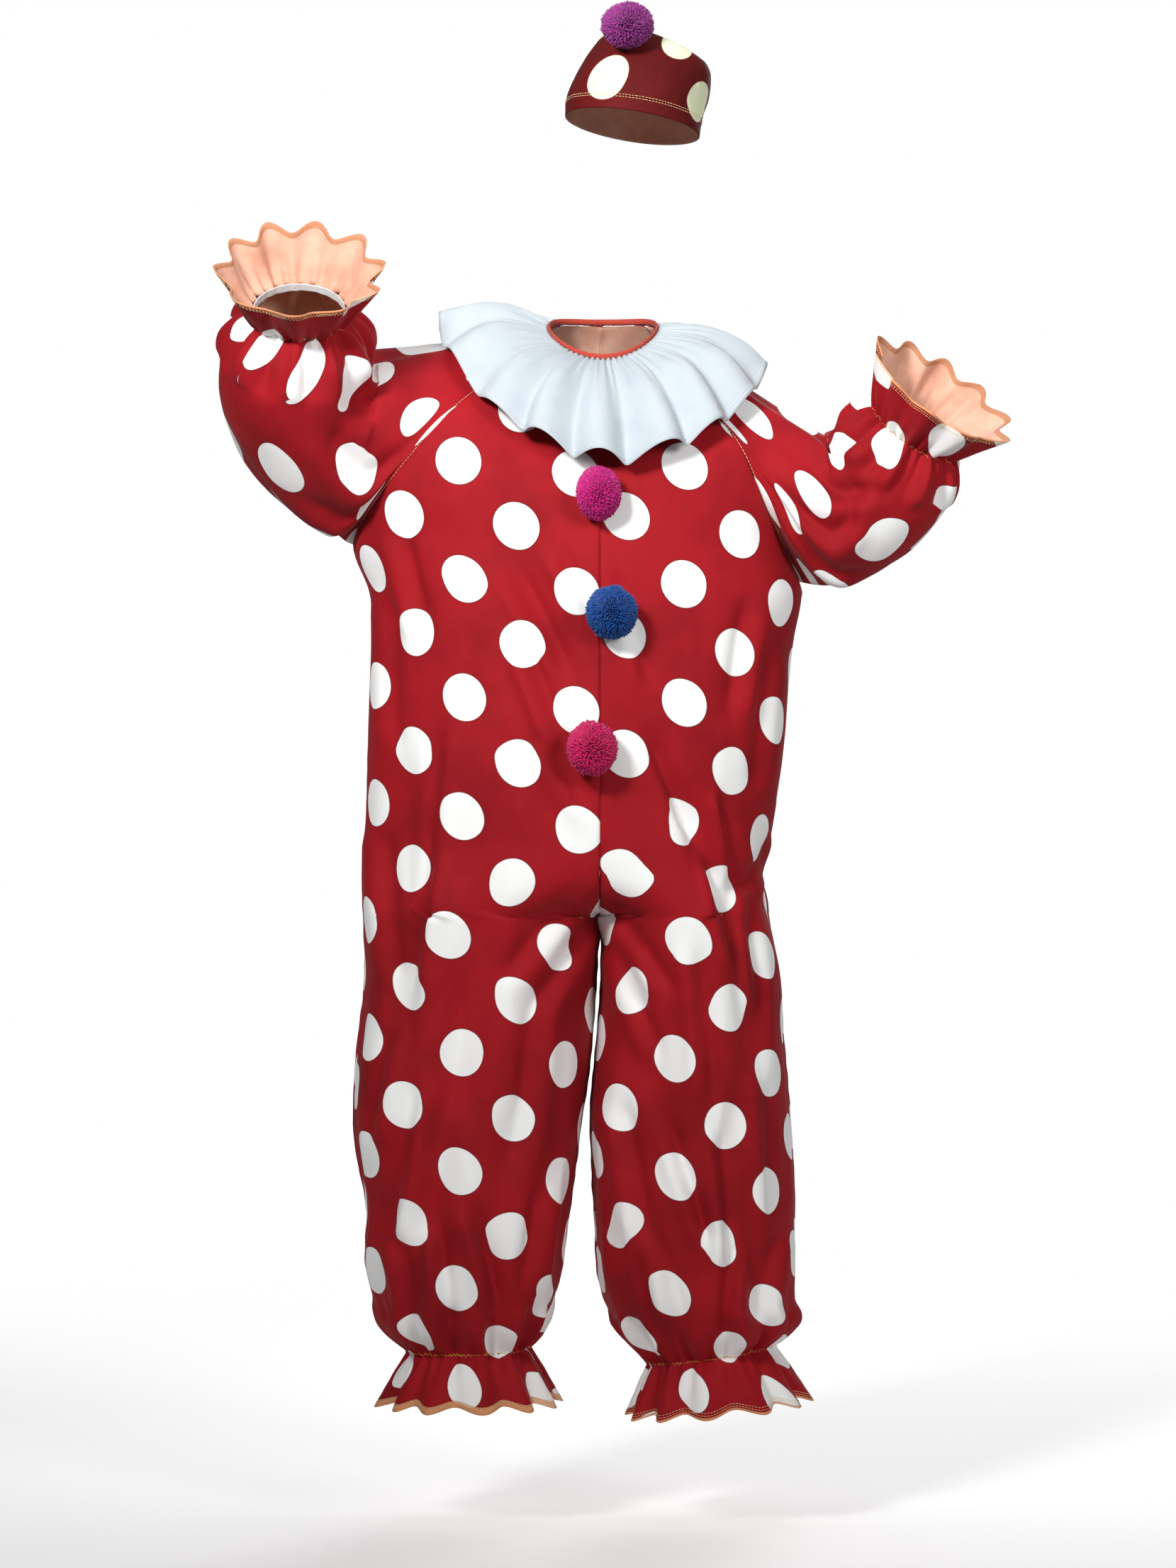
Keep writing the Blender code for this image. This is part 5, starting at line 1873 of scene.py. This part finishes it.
@dataclass
class Hat:
    """The soft hat: a side wall and a round tip, set down on the wearer's head."""

    centre: tuple[float, float, float] = (0.037, -0.005, 0.287)
    roll: float = 9.0
    pitch: float = 5.0
    columns: int = 168
    rows: int = 44
    tip_rows: int = 26
    pinch_turn: float = -75.0
    pinch_width: float = 26.0
    pinch_rise: float = 0.022
    tip_sag: float = 0.014
    tip_edge: float = 0.985
    wall: float = 0.0012
    side_print: Print = Print(-0.045, 0.030, 0.0)
    tip_print: Print = Print(0.004, 0.006, 0.0)
    hem_rows: tuple[float, float] = (0.016, 0.019)
    row_pitch: float = 0.0024
    groove_width: float = 0.004
    groove_depth: float = 0.0010

    def point(self, turn: float, share: float) -> Vector:
        """A point of the side: share runs from hem to crown edge."""
        ring = read(HAT_SIDE, "up", HAT_SIDE[-1].up * share)
        angle = math.radians(turn)
        pinch = math.exp(-((turn - self.pinch_turn) / self.pinch_width) ** 2) * share ** 3
        reach = 1 + self.slump(turn, share)
        point = Vector((ring.x + ring.half_width * reach * math.sin(angle),
                        -ring.half_depth * reach * math.cos(angle),
                        ring.up - ring.rise * math.sin(angle) + self.pinch_rise * pinch))
        turned = Matrix.Rotation(math.radians(self.roll), 3, "Y")
        tipped = Matrix.Rotation(math.radians(-self.pitch), 3, "X")
        return Vector(self.centre) + turned @ (tipped @ point)

    def slump(self, turn: float, share: float) -> float:
        """The side's soft dents, as a share of its radius."""
        angle = math.radians(turn)
        place = Vector((math.cos(angle) * 1.7, math.sin(angle) * 1.7, share * 1.5))
        dents = noise.noise(place) * 0.030 + (abs(noise.noise(place * 2.3)) - 0.2) * 0.018
        leaning = 0.012 * math.sin(angle * 3 + share * 4)
        leaning += 0.006 * math.sin(angle * 7 - share * 6)
        return (dents + leaning) * DENT_MARGIN.share(share)

    def tip_point(self, turn: float, share: float) -> Vector:
        """A point of the round tip, drawn in from the crown edge and sagging."""
        edge = self.point(turn, 1)
        centre = sum((self.point(quarter, 1) for quarter in (0, 90, 180, -90)), Vector()) / 4
        angle = math.radians(turn)
        dent = 0.0030 * math.sin(2 * angle + 0.7) * math.sin(math.pi * share)
        sag = Vector((0, 0, -self.tip_sag * (1 - share) ** 0.7 + dent))
        return centre.lerp(edge, share) + sag

    def build(self, cloth: bpy.types.Material, inner: bpy.types.Material,
              thread: Thread) -> list[bpy.types.Object]:
        """Makes the side, the tip and the stitching round the hem."""
        turns = [360 * i / self.columns - 180 for i in range(self.columns)]
        rows = [[self.point(turn, 1 - row / self.rows) for turn in turns]
                for row in range(self.rows + 1)]
        height = HAT_SIDE[-1].up
        flat = [[(u - self.side_print.across, v + height - self.side_print.down) for u, v in row]
                for row in around(rows)]
        side = Sheet("hat_side", rows, flat, closed=True, hem=[1.0] * len(rows))
        side.relief(lambda i, j: -self.groove_depth * math.exp(
            -(i * self.row_pitch / self.groove_width) ** 2))
        wall = side.build(self.wall, cloth, inner)
        stitching = Stitching("hat_hem_stitching", thread)
        for distance in self.hem_rows:
            stitching.straight(side.line(self.rows * (1 - distance / height)))
        line = stitching.build("dotted_red_cloth")
        rings = [self.tip_edge * (1 - row / self.tip_rows) for row in range(self.tip_rows)]
        tip_rows = [[self.tip_point(turn, share) for turn in turns] for share in rings]
        middle = tip_rows[-1][0].lerp(tip_rows[-1][self.columns // 2], 0.5)
        tip_rows.append([middle] * self.columns)
        places = []
        for row in tip_rows:
            places.append([(row[j % self.columns].x - middle.x + self.tip_print.across,
                            row[j % self.columns].y - middle.y + self.tip_print.down)
                           for j in range(self.columns + 1)])
        tip = Sheet("hat_tip", tip_rows, places, closed=True, flip=True,
                    hem=[1.0] * len(tip_rows))
        top = tip.build(self.wall, cloth, inner)
        self.close(top)
        for piece, sheet, extras in ((wall, side, [line]), (top, tip, [])):
            dress(piece, sheet.name, "dotted_red_cloth")
            declare(piece, sheet, extras)
        return [wall, top, line]

    @staticmethod
    def close(top: bpy.types.Object) -> None:
        """Merges the points at the tip's middle."""
        bm = bmesh.new()
        bm.from_mesh(top.data)
        bmesh.ops.remove_doubles(bm, verts=bm.verts, dist=0.00005)
        bm.to_mesh(top.data)
        bm.free()


class PomMaker(NamedTuple):
    """A pompom: its solid, its half sizes and its yarn, with the painted shade at the yarn's
    roots.
    """

    name: str
    half: tuple[float, float, float]
    slot: str
    colour: Colour
    root_shade: Colour
    seed: float


@dataclass
class Tuft:
    """A pompom's mesh as it grows, with the tone and the place on its lock of each point."""

    points: list[Vector] = field(default_factory=list)
    faces: list[tuple[int, ...]] = field(default_factory=list)
    tones: list[float] = field(default_factory=list)
    tips: list[float] = field(default_factory=list)

    def add(self, point: Vector, tone: float, tip: float) -> None:
        """Adds one point."""
        self.points.append(point)
        self.tones.append(tone)
        self.tips.append(tip)


@dataclass
class Pompom:
    """A ball of cut yarn: thousands of short locks that stand out from a dense heart."""

    maker: PomMaker
    locks: int = 2600
    stray: int = 500
    root: float = 0.55
    thick: float = 0.00125
    strand: float = 0.00016
    stray_reach: float = 0.05
    back_depth: float = 0.75
    heart_size: float = 0.22
    nudge: float = 0.05
    bend: float = 0.07

    def ways(self, count: int) -> list[Vector]:
        """Even directions all round a ball, nudged off their spiral."""
        golden = math.pi * (3 - math.sqrt(5))
        found = []
        for i in range(count):
            height = 1 - 2 * (i + 0.5) / count
            flat = math.sqrt(1 - height * height)
            way = Vector((flat * math.cos(golden * i), flat * math.sin(golden * i), height))
            nudge = noise.noise_vector(way * 60 + Vector((self.maker.seed, 0, 0)))
            found.append((way + nudge * self.nudge).normalized())
        return found

    def reach(self, way: Vector) -> float:
        """How far the yarn stands out that way, as a share of the ball's size."""
        place = way * 2.1 + Vector((self.maker.seed, 2, 3))
        clumps = noise.noise(way * 9 + Vector((0, self.maker.seed, 0)))
        return 0.95 + 0.055 * noise.noise(place) + 0.045 * clumps

    def build(self) -> bpy.types.Object:
        """Makes the pompom and puts it in its place."""
        tuft = Tuft()
        for index, way in enumerate(self.ways(self.locks)):
            self.lock(tuft, way, self.reach(way), self.thick, index)
        for index, way in enumerate(self.ways(self.stray)):
            self.lock(tuft, way, self.reach(way) + self.stray_reach, self.strand, index)
        self.heart(tuft)
        low, high = (Vector(corner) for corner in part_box(self.maker.name))
        centre, half = (low + high) / 2, Vector(self.maker.half)
        placed = []
        for point in tuft.points:
            depth = self.back_depth if point.y > 0 else 1
            placed.append(centre + Vector((point.x, point.y * depth, point.z)) * half)
        mesh = bpy.data.meshes.new(self.maker.name)
        mesh.from_pydata(placed, [], tuft.faces)
        mesh.attributes.new("tone", "FLOAT", "POINT").data.foreach_set("value", tuft.tones)
        mesh.attributes.new("tip", "FLOAT", "POINT").data.foreach_set("value", tuft.tips)
        mesh.shade_smooth()
        yarn = Yarn(self.maker.slot, self.maker.colour, self.maker.root_shade)
        mesh.materials.append(yarn.build())
        ball = put_in_scene(self.maker.name + "_yarn", mesh)
        dress(ball, self.maker.name, self.maker.slot)
        LOG.info("%s: %d locks", self.maker.name, self.locks)
        return ball

    def lock(self, tuft: Tuft, way: Vector, reach: float, thick: float, index: int) -> None:
        """Adds one three-sided lock that bends a little towards its tip."""
        size = self.maker.half[0]
        aside = way.orthogonal().normalized()
        other = way.cross(aside)
        bend = noise.noise_vector(way * 14 + Vector((self.maker.seed, 5, 1))) * self.bend
        tone = 0.5 + 0.5 * math.sin(index * 2.399)
        base = len(tuft.points)
        for share, width in ((0.0, 0.7), (0.6, 1.0), (1.0, 0.62)):
            along = self.root + (reach - self.root) * share
            middle = way * along + bend * share * share
            for k in range(3):
                angle = 2 * math.pi * k / 3 + index
                spoke = aside * math.cos(angle) + other * math.sin(angle)
                tuft.add(middle + spoke * (thick * width / size), tone, share)
        for level in (0, 3):
            for k in range(3):
                n = (k + 1) % 3
                tuft.faces.append((base + level + k, base + level + n,
                                   base + level + 3 + n, base + level + 3 + k))
        tuft.faces.append((base + 6, base + 7, base + 8))

    def heart(self, tuft: Tuft) -> None:
        """Adds the dense heart that the locks' roots are fused in, a ball coloured mostly with
        the yarn's painted root shade.
        """
        base, rings, count = len(tuft.points), 10, 20
        for i in range(rings + 1):
            angle = math.pi * i / rings
            for j in range(count):
                turn = 2 * math.pi * j / count
                way = Vector((math.sin(angle) * math.cos(turn), math.sin(angle) * math.sin(turn),
                              math.cos(angle)))
                size = self.root + self.heart_size + 0.03 * noise.noise(way * 6)
                # Set near the roots of every lock, so the heart takes the yarn's painted root
                # shade.
                tuft.add(way * size, 0.4, 0.15)
        for i in range(rings):
            for j in range(count):
                k = (j + 1) % count
                tuft.faces.append((base + i * count + j, base + (i + 1) * count + j,
                                   base + (i + 1) * count + k, base + i * count + k))


# Each yarn's second colour is the painted shade at the roots of its locks.
POMPOMS = (
    PomMaker("pompom_top", (0.029, 0.029, 0.035), "magenta_yarn",
             (0.60, 0.006, 0.22, 1.0), (0.20, 0.002, 0.07, 1.0), 1.0),
    PomMaker("pompom_middle", (0.033, 0.033, 0.034), "blue_yarn",
             (0.004, 0.075, 0.33, 1.0), (0.001, 0.015, 0.10, 1.0), 2.0),
    PomMaker("pompom_bottom", (0.032, 0.032, 0.035), "pink_yarn",
             (0.68, 0.008, 0.14, 1.0), (0.26, 0.002, 0.04, 1.0), 3.0),
    PomMaker("pompom_hat", (0.034, 0.034, 0.030), "purple_yarn",
             (0.30, 0.030, 0.24, 1.0), (0.10, 0.006, 0.08, 1.0), 4.0),
)


class Lamp(NamedTuple):
    """A soft square light: its place, what it points at, its side, watts and beam."""

    name: str
    place: tuple[float, float, float]
    aim: tuple[float, float, float]
    size: float
    power: float
    spread: float


LAMPS = (
    Lamp("key", (-1.7, -3.3, 1.6), (0, 0, 0.25), 0.8, 17, 50.0),
    Lamp("fill", (3.0, -4.8, 1.2), (0, 0, 0.40), 1.6, 15, 50.0),
    Lamp("top", (0.3, 0.6, 3.6), (0, 0, -0.5), 2.4, 45, 180.0),
    Lamp("back", (1.5, 4.5, 1.6), (0, 0, -0.5), 2.4, 90, 180.0),
)


@dataclass
class Studio:
    """The pale floor, soft lights and camera."""

    floor_z: float = -1.47
    floor_radius: float = 40
    floor_corners: int = 96
    camera_place: tuple[float, float, float] = (-0.0187, -6.3, -0.5393)
    lens: float = 115.0
    sensor: float = 36.0
    air_light: float = 0.15
    wall_light: float = 1.0

    def floor(self) -> None:
        """Lays the wide pale floor."""
        bpy.ops.object.select_all(action="DESELECT")
        bpy.ops.mesh.primitive_circle_add(vertices=self.floor_corners, radius=self.floor_radius,
                                          fill_type="NGON", location=(0, 0, self.floor_z))
        floor = bpy.context.object
        floor.name = "studio_floor"
        bpy.ops.object.transform_apply(location=True, rotation=True, scale=True)
        floor.data.materials.append(PaleFloor("pale_floor").build())

    def air(self) -> None:
        """Fills the studio with a dim even light, and leaves its far walls white."""
        world = bpy.context.scene.world or bpy.data.worlds.new("studio_air")
        bpy.context.scene.world = world
        world.use_nodes = True
        nodes = world.node_tree.nodes
        background = nodes["Background"]
        background.inputs["Color"].default_value = (1.0, 1.0, 1.0, 1.0)
        seen = nodes.new("ShaderNodeLightPath")
        brightness = nodes.new("ShaderNodeMapRange")
        brightness.inputs["To Min"].default_value = self.air_light
        brightness.inputs["To Max"].default_value = self.wall_light
        links = world.node_tree.links
        links.new(seen.outputs["Is Camera Ray"], brightness.inputs["Value"])
        links.new(brightness.outputs["Result"], background.inputs["Strength"])

    @staticmethod
    def light(lamp: Lamp) -> None:
        """Hangs one of the lights."""
        data = bpy.data.lights.new(lamp.name, "AREA")
        data.shape, data.size, data.energy = "SQUARE", lamp.size, lamp.power
        data.spread = math.radians(lamp.spread)
        hung = put_in_scene(lamp.name, data)
        hung.location = lamp.place
        beam = Vector(lamp.aim) - Vector(lamp.place)
        hung.rotation_euler = beam.to_track_quat("-Z", "Y").to_euler()

    def build(self) -> None:
        """Makes the floor, the lights, the dim light of the air and the camera."""
        self.floor()
        bpy.context.scene.view_settings.view_transform = "Standard"
        for lamp in LAMPS:
            self.light(lamp)
        self.air()
        data = bpy.data.cameras.new("studio_camera")
        data.lens, data.sensor_width = self.lens, self.sensor
        data.clip_start, data.clip_end = 0.05, 200
        camera = put_in_scene("studio_camera", data)
        camera.location = self.camera_place
        camera.rotation_euler = (math.pi / 2, 0, 0)
        bpy.context.scene.camera = camera


DOTTED = DottedCloth("dotted_red_cloth", (0.37, 0.008, 0.014, 1.0), (0.26, 0.006, 0.010, 1.0),
                     (0.93, 0.93, 0.92, 1.0))
HAT_DOTTED = DottedCloth("dotted_hat_cloth", (0.097, 0.0050, 0.0046, 1.0),
                         (0.064, 0.0034, 0.0033, 1.0), (0.74, 0.78, 0.54, 1.0))
REVERSE = ReverseCloth("cloth_reverse")
COLLAR_CLOTH = PlainWeave("white_collar_cloth", (0.49, 0.54, 0.575, 1.0), (0.40, 0.46, 0.51, 1.0))
BINDING_CLOTH = PlainWeave("red_binding", (0.44, 0.045, 0.025, 1.0), (0.33, 0.030, 0.018, 1.0),
                           relief=0.25)
ELASTIC = RibbedElastic("white_elastic")
CREAM_THREAD = Thread("cream_thread", (0.86, 0.72, 0.42, 1.0), (0.60, 0.42, 0.18, 1.0))
GOLD_THREAD = Thread("gold_thread", (0.78, 0.46, 0.10, 1.0), (0.50, 0.26, 0.05, 1.0))
WHITE_THREAD = Thread("white_thread", (0.86, 0.88, 0.90, 1.0), (0.66, 0.70, 0.74, 1.0))
RED_THREAD = Thread("red_thread", (0.34, 0.012, 0.014, 1.0), (0.22, 0.008, 0.010, 1.0))


# The right ankle shows a wider band of its turned hem than the left.
HEM_BANDS = {Side.RIGHT: 0.35, Side.LEFT: 1.0}


def main() -> None:
    """Builds every piece of the costume and the studio."""
    logging.basicConfig(level=logging.INFO, format="%(name)s: %(message)s")
    noise.seed_set(YARN_SEED)
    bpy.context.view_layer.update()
    cloth, inner = DOTTED.build(), REVERSE.build()
    suit = Jumpsuit()
    for face in Face:
        for side in Side:
            suit.panel(Panel(face, side, band=HEM_BANDS[side]), cloth, inner,
                       CREAM_THREAD, GOLD_THREAD)
    elastic = ELASTIC.build()
    for side in Side:
        sleeve = Sleeve(side)
        suit.sleeve(sleeve, cloth, inner, CREAM_THREAD, GOLD_THREAD)
        WristElastic(side).build(sleeve, elastic)
    Collar().build(COLLAR_CLOTH.build(), WHITE_THREAD)
    Binding().build(BINDING_CLOTH.build(), RED_THREAD)
    Hat().build(HAT_DOTTED.build(), inner, CREAM_THREAD)
    for maker in POMPOMS:
        Pompom(maker).build()
    Studio().build()


if __name__ == "__main__":
    main()
